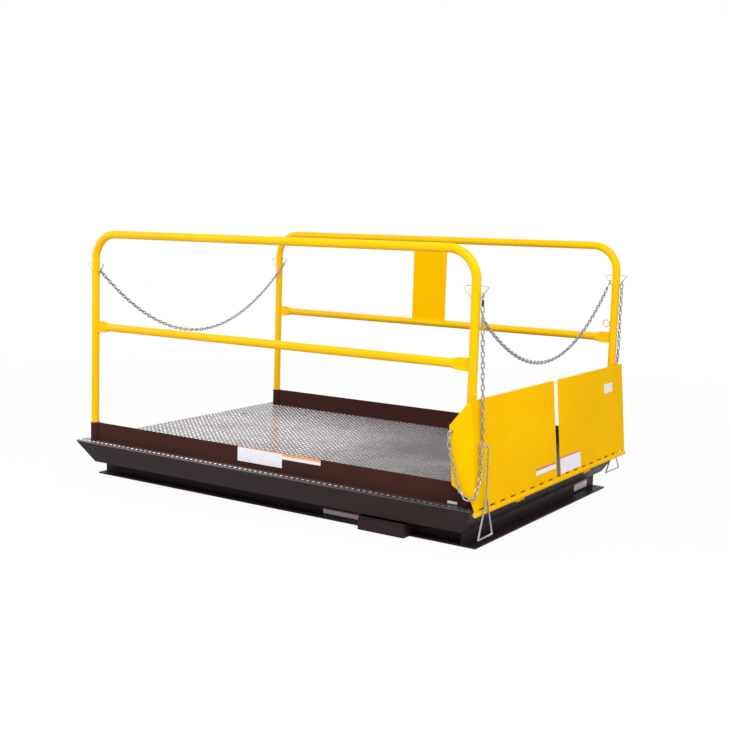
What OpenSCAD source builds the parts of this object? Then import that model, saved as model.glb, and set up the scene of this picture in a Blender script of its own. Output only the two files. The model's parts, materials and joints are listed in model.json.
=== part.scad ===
// Scissor dock lift with handrails and a two-leaf fold-down bridge, fully lowered.
// +X points to the bridge end, -Y to the near long side, +Z up.
// The origin is on the floor under the centre of the deck.

/* [Deck] */
// Length of the deck plate
deck_l = 2438; // [2400:1:2700]
// Width of the deck plate
deck_w = 1829; // [1780:1:2100]
// Height of the deck surface above the floor when lowered
deck_h = 203; // [198:1:240]
// Thickness of the deck plate
deck_t = 6; // [4:0.5:8]
// Diameter of the lifting holes in the deck plate
lift_hole_d = 20; // [12:1:30]
// Distance of the lifting holes from the ends of the deck
lift_hole_x = 154; // [130:1:220]
// Distance of the lifting holes from the centre line
lift_hole_y = 400; // [300:1:520]
// Depth of the stiffening ribs under the deck
rib_h = 40; // [25:1:45]
// Thickness of the stiffening ribs
rib_t = 8; // [5:1:12]
// Number of stiffening ribs
rib_count = 5; // [3:1:7]
// Distance of the outermost ribs from the ends of the deck
rib_in = 519; // [440:1:640]

/* [Toe guards] */
// Gap between the base and the lower edge of the guards
guard_gap = 13; // [8:1:30]
// Distance that the lower edge stands in from the deck edge
guard_inset = 73; // [50:1:80]
// Thickness of the guard sheet
guard_t = 4; // [2:0.5:6]

/* [Kick plates] */
// Height of the kick plates and rail sockets above the deck
kick_h = 102; // [80:1:150]
// Thickness of the kick plates
kick_t = 6; // [4:1:10]
// Wall of the rail sockets
socket_wall = 3; // [2:0.5:5]

/* [Handrails] */
// Outer diameter of the rail tube
tube_d = 42.2; // [34:0.1:48]
// Distance of the rails from the side edges of the deck
rail_inset = 66; // [55:1:90]
// Distance of the posts from the open end of the deck
post_open = 80; // [70:1:160]
// Distance of the posts from the bridge end of the deck
post_bridge = 49; // [40:1:70]
// Height of the top rail's centre above the deck
rail_h = 1142; // [1000:1:1250]
// Height of the middle rail's centre above the deck
mid_h = 636; // [500:1:720]
// Bending radius of the top corners
bend_r = 140; // [100:1:200]
// Height of the flattened ends of the middle rails
flat_h = 60; // [50:1:66]
// Thickness of the flattened ends
flat_t = 9; // [6:1:14]
// Length of the flattened ends beyond the post
flat_l = 45; // [10:1:60]
// Length of the taper between tube and flattened end
taper_l = 42; // [30:1:110]
// Width of the sheet between the far rails
panel_w = 226; // [150:1:400]
// Thickness of that sheet
panel_t = 4; // [2:0.5:6]

/* [Chain hooks] */
// Height of the hook mouths above the deck
hook_h = 943; // [850:1:970]
// Distance of the chain seat from the post centre
hook_seat = 34; // [31:1:42]
// Distance of the hook tips from the post centre
hook_tip = 60; // [52:1:75]
// Slope of the hook wire, degrees from level
hook_slope = 54; // [40:1:65]
// Diameter of the hook wire
hook_wire = 6; // [4:0.5:8]
// Diameter of the keeper wire
keeper_wire = 3; // [2:0.5:4]
// Radius of the parking ring on the far bridge-end post
park_r = 19; // [14:1:26]
// Height of the parking ring above the deck
park_h = 713; // [680:1:800]

/* [Chains] */
// Width of the chains
chain_d = 14; // [8:1:18]
// Wire of the end rings
chain_wire = 5; // [3:0.5:6]
// Sag of the chain across the open end
open_sag = 370; // [250:1:480]
// Sag of the chain across the bridge end
bridge_sag = 300; // [200:1:380]
// Distance below the hook where the bridge-end chain meets the lifting chain
branch_drop = 110; // [60:1:200]
// Distance from the hook down to the ring of the near lifting chain
ring_drop = 646; // [560:1:720]
// Distance of the near ring out from the post centre
ring_out = 62; // [58:1:72]
// Radius of the rings that carry the pull handles
ring_r = 12; // [9:1:16]

/* [Pull handles] */
// Diameter of the handle wire
handle_wire = 8; // [5:0.5:10]
// Height of the near grip bar above the floor
grip_h = 84; // [60:1:120]
// Width of the near triangular grip
grip_w = 135; // [80:1:150]
// Height of the near triangular grip
grip_rise = 181; // [120:1:240]
// Height of the far grip bar above the floor
far_grip_h = 70; // [40:1:100]
// Width of the far triangular grip
far_grip_w = 200; // [120:1:210]
// Height of the far triangular grip
far_grip_rise = 122; // [90:1:200]
// Distance of the near handle out from the hinge axis
handle_out = 19; // [17:0.5:30]
// Distance of the far handle from the deck's side edge
far_handle_y = 53; // [30:1:80]
// Distance of the far handle from the bridge end of the deck
far_handle_x = 54; // [30:1:80]
// Height of the far ring above its grip bar
far_ring_h = 424; // [340:1:440]

/* [Bridge] */
// Length of the bridge leaves from the hinge axis
bridge_l = 500; // [400:1:600]
// Thickness of the bridge leaves
bridge_t = 8; // [5:0.5:10]
// Overhang of each leaf past the side edge of the deck
bridge_over = 3.5; // [2:0.5:10]
// Gap between the two leaves
bridge_gap = 58; // [20:1:76]
// Distance between the stowed leaves and the posts
lean_gap = 4; // [1:0.5:10]
// Height of the folded side wings
wing_h = 104; // [60:1:120]
// Thickness of the side wings
wing_t = 6; // [4:0.5:8]
// Distance from the hinge to the lower end of the full wing
wing_low = 128; // [100:1:180]
// Distance from the leaf's tip to the upper end of the full wing
wing_high = 108; // [60:1:160]
// Diameter of the chain hole in the wings
wing_hole_d = 14; // [10:1:18]
// Distance of the chain hole from the hinge axis
wing_hole_l = 365; // [300:1:380]
// Distance of the chain hole from the wing's free edge
wing_hole_edge = 12; // [10:1:20]

/* [Bridge hinge] */
// Distance of the hinge axis beyond the end of the deck
hinge_out = 24; // [22:0.5:30]
// Distance of the hinge axis below the deck surface
hinge_drop = 12; // [10:0.5:16]
// Outer radius of the knuckles
knuckle_r = 11; // [9:0.5:12]
// Length of each knuckle
knuckle_l = 50; // [40:1:52]
// Distance of the outermost deck knuckles from the ends of the hinge
knuckle_in = 62; // [50:1:80]
// Number of deck knuckles on each side of the centre one
knuckle_half = 8; // [6:1:8]
// Diameter of the hinge rods
hinge_rod_d = 12; // [8:0.5:14]
// Radius of the notches in the leaves round the deck knuckles
notch_r = 23; // [18:1:28]
// Depth of the hinge strip on the deck's end
strip_h = 21; // [15:1:26]
// Distance of the hinge strip's ends from the leaves' side edges
strip_end = 30; // [10:1:36]
// Gap between the hinge strip and the knuckles' barrels
strip_gap = 1.8; // [1:0.1:4]
// Width of the tabs under the hinge strip
tab_w = 88; // [50:1:120]
// Depth of the tabs under the hinge strip
tab_h = 16; // [8:1:24]
// Distance of the tabs from the centre line
tab_y = 414; // [300:1:600]

/* [Base frame] */
// Distance of the side flanges' edges from the side edges of the deck
base_side = 125.5; // [95:0.5:135]
// Distance of the base's open end from the open end of the deck
base_open = 51; // [30:1:60]
// Distance of the base's bridge end from the bridge end of the deck
base_bridge = 31; // [25:1:45]
// Width of the side flanges outside their webs
base_flange = 60; // [50:1:64]
// Width of the end flange outside its web
end_flange = 66; // [50:1:72]
// Height of the base angles
base_h = 66; // [50:1:70]
// Thickness of the base angles
base_t = 8; // [5:1:10]
// Height of the running surface for the lower rollers
track_t = 14; // [10:1:16]
// Width of the running bars beside the rollers
track_lip = 3; // [1:1:5]
// Width of the flat cross bars
cross_w = 100; // [60:1:140]
// Distance of the cross bars from the legs' end pivots
bar_in = 500; // [350:1:700]
// Diameter of the floor anchor holes
anchor_d = 18; // [12:1:22]
// Distance of the anchor holes from the ends of the deck
anchor_in = 74; // [68:1:84]
// Distance of the anchor holes from the flange edges
anchor_side = 30; // [20:1:36]

/* [Entry box] */
// Length of the hose and cable entry box
entry_l = 251; // [150:1:320]
// Distance that the box stands out from the base web
entry_out = 115; // [80:1:120]
// Height of the entry box
entry_h = 64; // [40:1:66]
// Distance of the box from the bridge end of the deck
entry_in = 371; // [250:1:900]
// Width of the slope along the box's upper edge
entry_slope = 12; // [5:1:30]
// Wall of the entry box
entry_t = 3; // [2:0.5:5]

/* [Scissor legs] */
// Gap between the legs' ends and the flange across the open end, when lowered
roller_room = 41; // [20:1:80]
// Depth of the legs
leg_h = 80; // [60:1:84]
// Thickness of the legs
leg_t = 32; // [20:1:34]
// Radius of the rounded leg ends
leg_end_r = 34; // [28:1:35]
// Length of the taper at each leg end
leg_taper = 130; // [80:1:200]
// Radius of the boss at the centre pin
leg_boss_r = 52; // [44:1:56]
// Gap between an inner and an outer leg
leg_gap = 12; // [8:1:14]
// Gap between the rollers and the legs beside them
leg_side = 9; // [8:1:12]
// Gap between the legs' fixed ends and the base's end web
pivot_room = 15; // [8:1:30]
// Radius of the pivot pins
pin_r = 15; // [12:1:18]
// Running clearance round pins and tubes
pin_gap = 0.05; // [0.02:0.01:0.1]
// Radius of the rollers
roller_r = 36; // [32:1:37]
// Width of the rollers
roller_w = 30; // [20:1:32]
// Gap between the rollers and the base webs
roller_side = 13; // [10:1:20]
// Thickness of the pivot lugs
lug_t = 14; // [8:1:16]
// Radius of the pivot lugs' round ends
lug_r = 29; // [24:1:30]
// Radius of the cross tubes
cross_r = 25; // [18:1:27]
// Distance of the outermost cross tubes from the leg ends
cross_in = 120; // [100:1:160]

/* [Cylinders] */
// Distance of the cylinder pivots from the leg ends
cyl_in = 300; // [280:1:340]
// Distance of the cylinders from the centre line
cyl_y = 250; // [120:1:400]
// Outer radius of the barrels
barrel_r = 38; // [34:1:40]
// Wall of the barrels
barrel_wall = 7; // [4:0.5:9]
// Length of the barrels
barrel_l = 640; // [610:1:680]
// Radius of the piston rods
rod_r = 19; // [14:1:22]
// Length of the pistons
piston_l = 45; // [30:1:50]
// Radius of the eyes on the cross tubes
eye_r = 40; // [35:1:42]
// Width of the eyes
eye_w = 50; // [30:1:60]

/* [Deck channels] */
// Thickness of the channels that the upper rollers run in
chan_t = 8; // [6:0.5:8]
// Gap between the upper rollers and the channels' lower flanges
chan_gap = 2.7; // [1.5:0.1:4]
// Width of the channels' flanges inside the rollers
chan_lip = 4; // [2:1:6]
// Gap between the upper rollers and the channels' webs
chan_side = 6; // [4:1:10]
// Gap between the end members and the toe guards
end_gap = 2; // [1:0.5:10]

/* [Hidden] */

$fn = 48;
seat = 0.3;
weld = 0.2;
yellow = [0.98, 0.76, 0.02];
brown = [0.26, 0.14, 0.12];
dark = [0.16, 0.11, 0.1];
steel = [0.62, 0.62, 0.64];
grey = [0.5, 0.48, 0.5];

half_l = deck_l / 2;
half_w = deck_w / 2;
deck_under = deck_h - deck_t;
rib_span = deck_l - 2 * rib_in;

// Toe guards
guard_low = base_h + guard_gap;
guard_w = guard_t / cos(atan(guard_inset / (deck_under - guard_low)));

// Rails
post_r = tube_d / 2;
post_x0 = -half_l + post_open;
post_x1 = half_l - post_bridge;
rail_y = half_w - rail_inset;
rail_z = deck_h + rail_h;
mid_z = deck_h + mid_h;
socket_bore = post_r + seat;
socket_r = socket_bore + socket_wall;

// Base
base_w = deck_w - 2 * base_side;
base_x0 = -half_l + base_open;
base_x1 = half_l - base_bridge;
web_y1 = base_w / 2 - base_flange;
web_y0 = web_y1 - base_t;
end_web_x1 = base_x1 - end_flange;
end_web_x0 = end_web_x1 - base_t;
anchor_x = half_l - anchor_in;

// Legs, from the rollers inwards
roller_y = web_y0 - roller_side - roller_w / 2;
track_y0 = roller_y - roller_w / 2 - track_lip;
outer_y1 = roller_y - roller_w / 2 - leg_side;
outer_y0 = outer_y1 - leg_t;
inner_y1 = outer_y0 - leg_gap;
inner_y0 = inner_y1 - leg_t;
pivot_x = end_web_x0 - pivot_room - leg_end_r;
roller_x = base_x0 + base_flange + roller_room + leg_end_r;
low_z = track_t + seat + roller_r;
high_z = deck_under - chan_t - seat - roller_r;
leg_l = norm([pivot_x - roller_x, high_z - low_z]);
lean = asin((high_z - low_z) / leg_l);
centre_x = pivot_x - leg_l / 2 * cos(lean);
centre_z = (low_z + high_z) / 2;
lug_gap = 3;

// Channels and end members under the deck
chan_y0 = roller_y - roller_w / 2 - chan_lip;
chan_y1 = roller_y + roller_w / 2 + chan_side + chan_t;
chan_low = high_z - roller_r - chan_gap - chan_t;
end_x = half_l - guard_inset - guard_w - end_gap - rib_t;

// Hinge and bridge leaves
hinge_x = half_l + hinge_out;
hinge_z = deck_h - hinge_drop;
leaf_y1 = half_w + bridge_over;
knuckle_pitch = (leaf_y1 - knuckle_in) / knuckle_half;
leaf_tilt = atan((hinge_x - post_x1 - post_r - lean_gap - bridge_t / 2) / bridge_l);

// Chains and handles
hook_z = deck_h + hook_h;
near_ring = [post_x1 + ring_out, -rail_y, hook_z - ring_drop];
far_handle = [half_l - far_handle_x, half_w + far_handle_y, far_grip_h];

module both_sides() {
    children();
    mirror([0, 1, 0])
        children();
}

// Cylinder along Y between two heights of Y
module cyl_y(r, y0, y1) {
    translate([0, y0, 0])
        rotate([-90, 0, 0])
            cylinder(r = r, h = y1 - y0);
}

// Extrudes a drawing in X and Z along Y
module slab_y(y0, y1) {
    translate([0, y1, 0])
        rotate([90, 0, 0])
            linear_extrude(y1 - y0)
                children();
}

// Extrudes a drawing in Y and Z along X
module slab_x(x0, x1) {
    translate([x0, 0, 0])
        rotate([90, 0, 90])
            linear_extrude(x1 - x0)
                children();
}

// Box between two corners
module box(a, b) {
    translate(a)
        cube(b - a);
}

// Round wire between two points, with round ends
module wire(p, q, r) {
    d = q - p;
    len = norm(d);
    translate(p)
        rotate([0, acos(d[2] / len), atan2(d[1], d[0])])
            cylinder(r = r, h = len);
    translate(p)
        sphere(r = r);
    translate(q)
        sphere(r = r);
}

// Upright ring in the XZ plane
module ring_xz(big, small) {
    rotate([90, 0, 0])
        rotate_extrude()
            translate([big, 0])
                circle(r = small);
}

// Upright ring in the YZ plane
module ring_yz(big, small) {
    rotate([0, 90, 0])
        rotate_extrude()
            translate([big, 0])
                circle(r = small);
}

// Unit vector
function unit(v) = v / norm(v);

// Direction of a path at its point i
function heading(path, i) =
    let (a = max(i - 1, 0), b = min(i + 1, len(path) - 1))
    unit(path[b] - path[a]);

// One ring of points round a path, kept square to its heading
function hoop(path, i, r, side, sides) =
    let (t = heading(path, i), u = unit(cross(t, side)), v = cross(u, t))
    [for (k = [0:sides - 1])
        path[i] + r * (cos(360 * k / sides) * u + sin(360 * k / sides) * v)];

// Plain body of a chain along a path, narrowed at its two ends
module chain_body(path, side, sides = 8) {
    rings = len(path);
    points = [for (i = [0:rings - 1])
        let (r = i == 0 || i == rings - 1 ? chain_d / 4 : chain_d / 2)
        each hoop(path, i, r, side, sides)];
    walls = [for (i = [0:rings - 2]) for (k = [0:sides - 1])
        let (a = i * sides + k, b = i * sides + (k + 1) % sides)
        [a, b, b + sides, a + sides]];
    first = [for (k = [0:sides - 1]) sides - 1 - k];
    last = [for (k = [0:sides - 1]) (rings - 1) * sides + k];
    polyhedron(points, concat([first], walls, [last]));
}

// Deck plate with its lifting holes
module deck_plate() {
    color(grey)
        difference() {
            box([-half_l, -half_w, deck_under], [half_l, half_w, deck_h]);
            for (sx = [-1, 1])
                for (sy = [-1, 1])
                    translate([sx * (half_l - lift_hole_x), sy * lift_hole_y, deck_under - 1])
                        cylinder(d = lift_hole_d, h = deck_t + 2);
        }
}

// Flat ribs across the deck between the legs
module deck_ribs() {
    color(dark)
        for (i = [0:rib_count - 1]) {
            x = -rib_span / 2 + i * rib_span / (rib_count - 1);
            y = inner_y0 - lug_t - lug_gap;
            box([x - rib_t / 2, -y, deck_under - rib_h], [x + rib_t / 2, y, deck_under]);
        }
}

// Channels along the deck that the upper rollers run in
module deck_channels() {
    y0 = chan_y0;
    y1 = chan_y1;
    z0 = chan_low;
    z1 = deck_under;
    t = chan_t;
    color(dark)
        both_sides()
            slab_x(-end_x, end_x)
                polygon([[y0, z0], [y1, z0], [y1, z1], [y0, z1],
                    [y0, z1 - t], [y1 - t, z1 - t], [y1 - t, z0 + t], [y0, z0 + t]]);
}

// Members across the two ends of the deck
module deck_end_members() {
    color(dark)
        for (s = [0, 1])
            mirror([s, 0, 0])
                box([end_x, -chan_y1, chan_low], [end_x + rib_t, chan_y1, deck_under]);
}

// Drawing of a lug: round at the pin, square towards its plate
module lug_shape(pin_z, plate_z) {
    low = min(pin_z, plate_z);
    difference() {
        union() {
            translate([0, pin_z])
                circle(r = lug_r);
            translate([-lug_r, low])
                square([2 * lug_r, abs(plate_z - pin_z)]);
        }
        translate([0, pin_z])
            circle(r = pin_r + pin_gap);
    }
}

// Lugs under the deck for the fixed pivots of the inner legs
module deck_pivot_lugs() {
    color(dark)
        both_sides()
            for (y = [inner_y0 - lug_gap - lug_t, inner_y1 + lug_gap])
                translate([pivot_x, 0, 0])
                    slab_y(y, y + lug_t)
                        lug_shape(high_z, deck_under);
}

// Pins of the deck's fixed pivots
module deck_pivot_pins() {
    color(steel)
        both_sides()
            translate([pivot_x, 0, high_z])
                cyl_y(pin_r, inner_y0 - lug_gap - lug_t - 4, inner_y1 + lug_gap + lug_t + 4);
}

// Section of a sloping guard under an edge at distance e
module guard_shape(e) {
    f = e - guard_inset;
    polygon([[e, deck_under], [f, guard_low], [f - guard_w, guard_low], [e - guard_w, deck_under]]);
}

// Plan of one guard between its mitred corners: full length a, distance out b
module mitre_plan(a, b) {
    d = b / 2;
    linear_extrude(deck_h)
        polygon([[-a, b], [a, b], [a - d, b - d], [-a + d, b - d]]);
}

module side_guard() {
    intersection() {
        slab_x(-half_l, half_l)
            guard_shape(half_w);
        mitre_plan(half_l, half_w);
    }
}

module end_guard() {
    intersection() {
        slab_y(-half_w, half_w)
            guard_shape(half_l);
        rotate([0, 0, -90])
            mitre_plan(half_w, half_l);
    }
}

module toe_guard_far() {
    color(dark)
        side_guard();
}

module toe_guard_near() {
    color(dark)
        mirror([0, 1, 0])
            side_guard();
}

module toe_guard_bridge() {
    color(dark)
        end_guard();
}

module toe_guard_open() {
    color(dark)
        mirror([1, 0, 0])
            end_guard();
}

// Sockets that the rail posts stand in
module rail_sockets() {
    color(brown)
        both_sides()
            for (x = [post_x0, post_x1])
                translate([x, rail_y, deck_h])
                    difference() {
                        cylinder(r = socket_r, h = kick_h);
                        translate([0, 0, -1])
                            cylinder(r = socket_bore, h = kick_h + 2);
                    }
}

module kick_plate() {
    box([post_x0 + socket_r + weld, rail_y - kick_t / 2, deck_h],
        [post_x1 - socket_r - weld, rail_y + kick_t / 2, deck_h + kick_h]);
}

module kick_plate_far() {
    color(brown)
        kick_plate();
}

module kick_plate_near() {
    color(brown)
        mirror([0, 1, 0])
            kick_plate();
}

// Quarter bend of the rail tube
module rail_bend() {
    rotate([90, 0, 0])
        rotate_extrude(angle = 90)
            translate([bend_r, 0])
                circle(r = post_r);
}

// Two posts and the top rail, bent from one tube
module rail_hoop() {
    foot = deck_h + seat;
    top = rail_z - bend_r;
    for (x = [post_x0, post_x1])
        translate([x, rail_y, foot])
            cylinder(r = post_r, h = top - foot);
    translate([post_x0 + bend_r, rail_y, rail_z])
        rotate([0, 90, 0])
            cylinder(r = post_r, h = post_x1 - post_x0 - 2 * bend_r);
    translate([post_x1 - bend_r, rail_y, top])
        rail_bend();
    translate([post_x0 + bend_r, rail_y, top])
        mirror([1, 0, 0])
            rail_bend();
}

module rail_hoop_far() {
    color(yellow)
        rail_hoop();
}

module rail_hoop_near() {
    color(yellow)
        mirror([0, 1, 0])
            rail_hoop();
}

// Tube end squeezed flat and coped to the post at x = 0
module flat_end() {
    tab_l = post_r + flat_l;
    difference() {
        union() {
            translate([0, -flat_t / 2, -flat_h / 2])
                cube([tab_l, flat_t, flat_h]);
            hull() {
                translate([tab_l, -flat_t / 2, -flat_h / 2])
                    cube([1, flat_t, flat_h]);
                translate([tab_l + taper_l - 1, 0, 0])
                    rotate([0, 90, 0])
                        cylinder(r = post_r - 0.05, h = 1, $fn = 32);
            }
        }
        translate([0, 0, -flat_h])
            cylinder(r = post_r + weld, h = 2 * flat_h);
    }
}

module mid_rail() {
    start = post_r + flat_l + taper_l;
    translate([0, rail_y, mid_z]) {
        translate([post_x0 + start, 0, 0])
            rotate([0, 90, 0])
                cylinder(r = post_r, h = post_x1 - post_x0 - 2 * start);
        translate([post_x0, 0, 0])
            flat_end();
        translate([post_x1, 0, 0])
            mirror([1, 0, 0])
                flat_end();
    }
}

module mid_rail_far() {
    color(yellow)
        mid_rail();
}

module mid_rail_near() {
    color(yellow)
        mirror([0, 1, 0])
            mid_rail();
}

// Sheet between the far rails
module rail_panel() {
    color(yellow)
        box([-panel_w / 2, rail_y - panel_t / 2, mid_z + post_r + weld],
            [panel_w / 2, rail_y + panel_t / 2, rail_z - post_r - weld]);
}

// One hook on the +X side of a post at x = 0, with its keeper wire
module chain_hook() {
    rise = (hook_tip - hook_seat) * tan(hook_slope);
    foot_x = post_r - hook_wire / 2;
    foot_z = -(hook_seat - foot_x) * tan(hook_slope);
    difference() {
        union() {
            wire([foot_x, 0, foot_z], [hook_tip, 0, rise], hook_wire / 2);
            wire([hook_tip, 0, rise], [post_r, 0, rise + 6], keeper_wire / 2);
        }
        translate([0, 0, foot_z - 20])
            cylinder(r = post_r + weld, h = rise - foot_z + 50);
    }
}

module chain_hooks() {
    color(steel)
        both_sides()
            for (x = [post_x0, post_x1])
                for (s = [0, 1])
                    translate([x, rail_y, hook_z])
                        mirror([s, 0, 0])
                            chain_hook();
}

// Ring on the far bridge-end post
module parking_ring() {
    r = chain_wire / 2;
    color(steel)
        translate([post_x1 - post_r - weld - park_r - r, rail_y, deck_h + park_h])
            ring_xz(park_r, r);
}

// Radius of the rings in the hooks, wide enough for the sloping hook wire
hook_ring_r = (hook_wire / 2 + chain_wire / 2 + seat) / cos(hook_slope);
ring_reach = hook_ring_r + chain_wire / 2 + 2 * seat;
handle_reach = ring_r + chain_wire / 2 + 2 * seat;

// Height of a sagging chain between two ends, at share t of the way
function sag_z(za, zb, sag, t) = za + (zb - za) * t - 4 * sag * t * (1 - t);

// Points of a sagging chain from a to b
function sag_path(a, b, sag, rings) =
    [for (i = [0:rings])
        let (t = i / rings, p = a + (b - a) * t)
        [p[0], p[1], sag_z(a[2], b[2], sag, t)]];

// Ring that hangs in a hook, at the origin
module end_ring() {
    ring_yz(hook_ring_r, chain_wire / 2);
}

// Chain across the open end, from hook to hook
module open_end_chain() {
    x = post_x0 + hook_seat;
    a = atan(2 * open_sag / rail_y);
    y = rail_y - ring_reach * cos(a);
    z = hook_z - ring_reach * sin(a);
    color(steel) {
        chain_body(sag_path([x, -y, z], [x, y, z], open_sag, 36), [1, 0, 0]);
        for (s = [-1, 1])
            translate([x, s * rail_y, hook_z])
                end_ring();
    }
}

// Chain across the bridge end, from the near lifting chain to the far hook
module bridge_end_chain() {
    drop = branch_drop / ring_drop;
    rise = branch_drop / rail_y / 2;
    a0 = atan(2 * bridge_sag / rail_y - rise);
    a1 = atan(2 * bridge_sag / rail_y + rise);
    p = [post_x1 + hook_seat + (ring_out - hook_seat) * drop,
        -rail_y + chain_d / 2 * (1 + sin(a0)) + seat, hook_z - branch_drop];
    q = [post_x1 - hook_seat, rail_y - ring_reach * cos(a1), hook_z - ring_reach * sin(a1)];
    color(steel) {
        chain_body(sag_path(p, q, bridge_sag, 36), [1, 0, 0]);
        translate([q[0], rail_y, hook_z])
            end_ring();
    }
}

// Point on a bridge leaf: l along the leaf from the hinge axis, h in from its mid plane
function on_leaf(l, h) =
    [hinge_x - l * sin(leaf_tilt) - h * cos(leaf_tilt), hinge_z + l * cos(leaf_tilt) - h * sin(leaf_tilt)];

// Ring through the chain hole of a wing, round the wing's free edge
wing_ring_in = (wing_hole_edge + chain_wire / 2 + 2 * seat) / 2;
wing_ring_r = norm([wing_hole_edge - wing_ring_in, wing_t / 2]) + chain_wire / 2 + 2 * seat;
wing_ring = on_leaf(wing_hole_l, bridge_t / 2 + wing_h - wing_hole_edge + wing_ring_in);

module wing_ring_at(side) {
    translate([wing_ring[0], side * (leaf_y1 - wing_t / 2), wing_ring[1]])
        rotate([0, -leaf_tilt, 0])
            rotate_extrude()
                translate([wing_ring_r, 0])
                    circle(r = chain_wire / 2);
}

// Smooth curve through route points, with n steps between two of them
function curve(p, n) = [for (i = [0:len(p) - 2]) for (k = [0:n - 1])
    let (t = k / n, a = p[max(i - 1, 0)], b = p[i], c = p[i + 1], d = p[min(i + 2, len(p) - 1)])
    0.5 * (2 * b + (c - a) * t + (2 * a - 5 * b + 4 * c - d) * t * t + (3 * b - a - 3 * c + d) * t * t * t),
    p[len(p) - 1]];

// Near lifting chain: hook to ring, then a slack loop to the wing
module lift_chain_near() {
    x = post_x1 + hook_seat;
    top = [x, -rail_y, hook_z - ring_reach];
    low = near_ring + [0, 0, handle_reach];
    start = near_ring + handle_reach * [0, -sin(45), -cos(45)];
    y = -leaf_y1 - chain_d / 2;
    end = [wing_ring[0], y - 1, wing_ring[1] - chain_wire / 2 - 2 * seat];
    loop = [start - [0, 8, 8],
        [near_ring[0] + 4, -rail_y - 22, near_ring[2] - 40],
        [hinge_x, -rail_y - 29, hinge_z + 210],
        [hinge_x + 4, -rail_y - 45, hinge_z + 150],
        [hinge_x + 4, y - 6, hinge_z + 94],
        [hinge_x - 10, y - 12, hinge_z + 72],
        [hinge_x - 36, y - 12, hinge_z + 70],
        [hinge_x - 64, y - 12, hinge_z + 92],
        [hinge_x - 92, y - 12, hinge_z + 152],
        [hinge_x - 118, y - 12, hinge_z + 240],
        [hinge_x - 134, y - 6, hinge_z + 308],
        end - [0, 0, 16]];
    color(steel) {
        translate([x, -rail_y, hook_z])
            end_ring();
        chain_body([for (i = [0:16]) top + (low - top) * i / 16], [0, 1, 0]);
        chain_body([start, each curve(loop, 2), end], [0, 0.6, 0.8]);
        wing_ring_at(-1);
    }
}

// Far lifting chain: hook, over the wing's corner, ring, loop to the wing
module lift_chain_far() {
    x = post_x1 + hook_seat;
    top = [x, rail_y, hook_z - ring_reach];
    ring = far_handle + [0, 0, far_ring_h];
    y = leaf_y1 + chain_d / 2;
    start = ring + handle_reach * [0, -sin(45), -cos(45)];
    end = [wing_ring[0], y + 1, wing_ring[1] - chain_wire / 2 - 2 * seat];
    upper = [top, top - [0, 0, 120], top - [0, 0, 240], top - [0, 0, 340],
        [post_x1 + 32, rail_y + 3, ring[2] + 261],
        [post_x1 + 23, rail_y + 23, ring[2] + 217],
        [post_x1 + 3, rail_y + 46, ring[2] + 189],
        [post_x1 - 6, leaf_y1 - 2, ring[2] + 170],
        [post_x1 - 6, y + 16, ring[2] + 147],
        [ring[0], ring[1] - 6, ring[2] + 101],
        ring + [0, 0, handle_reach + 20]];
    loop = [start - [0, 8, 8],
        [ring[0] - 2, y + 21, ring[2] - 44],
        [ring[0] - 6, y + 16, hinge_z + 200],
        [ring[0] - 14, y + 12, hinge_z + 130],
        [ring[0] - 28, y + 12, hinge_z + 102],
        [ring[0] - 42, y + 12, hinge_z + 124],
        [ring[0] - 54, y + 12, hinge_z + 200],
        [wing_ring[0] - 2, y + 6, hinge_z + 290],
        end - [0, 0, 16]];
    color(steel) {
        translate([x, rail_y, hook_z])
            end_ring();
        chain_body([each curve(upper, 2), ring + [0, 0, handle_reach]], [0.9, 0.3, 0.3]);
        chain_body([start, each curve(loop, 2), end], [0, 0.6, 0.8]);
        wing_ring_at(1);
    }
}

// Rod with a triangular grip under a ring: p is the middle of the grip bar
module pull_handle(p, ring, width, rise) {
    r = handle_wire / 2;
    apex = p + [0, 0, rise];
    top = [p[0], p[1], ring[2] - ring_r];
    left = p - [0, width / 2, 0];
    right = p + [0, width / 2, 0];
    wire(left, right, r);
    wire(left, apex, r);
    wire(right, apex, r);
    wire(apex, top, r);
    if (ring[0] != p[0])
        wire(top, ring - [0, 0, ring_r], r);
    translate(ring)
        ring_yz(ring_r, chain_wire / 2);
}

module pull_handle_near() {
    color(steel)
        pull_handle([hinge_x + handle_out, -rail_y, grip_h], near_ring, grip_w, grip_rise);
}

module pull_handle_far() {
    color(steel)
        pull_handle(far_handle, far_handle + [0, 0, far_ring_h], far_grip_w, far_grip_rise);
}

// Places of the deck's knuckles along the hinge
function knuckle_ys() = [for (i = [-knuckle_half:knuckle_half]) i * knuckle_pitch];

// Strip, knuckles and tabs on the end of the deck
module hinge_strip() {
    x0 = half_l + weld;
    x1 = hinge_x - knuckle_r - strip_gap;
    y1 = leaf_y1 - strip_end;
    z1 = deck_under;
    color(yellow)
        difference() {
            union() {
                box([x0, -y1, z1 - strip_h], [x1, y1, z1]);
                for (y = knuckle_ys()) {
                    translate([hinge_x, 0, hinge_z])
                        cyl_y(knuckle_r, y - knuckle_l / 2, y + knuckle_l / 2);
                    box([x0, y - knuckle_l / 2, hinge_z - knuckle_r], [hinge_x, y + knuckle_l / 2, z1]);
                }
                for (s = [-1, 1])
                    box([x0, s * tab_y - tab_w / 2, z1 - strip_h - tab_h],
                        [(x0 + x1) / 2 + 2.5, s * tab_y + tab_w / 2, z1 - strip_h]);
            }
            translate([hinge_x, 0, hinge_z])
                cyl_y(hinge_rod_d / 2 + pin_gap, -leaf_y1 - 1, leaf_y1 + 1);
        }
}

// Rods through the knuckles, one for each leaf
module hinge_rods() {
    color(steel)
        both_sides()
            translate([hinge_x, 0, hinge_z])
                cyl_y(hinge_rod_d / 2, 2, leaf_y1 - 2);
}

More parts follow.
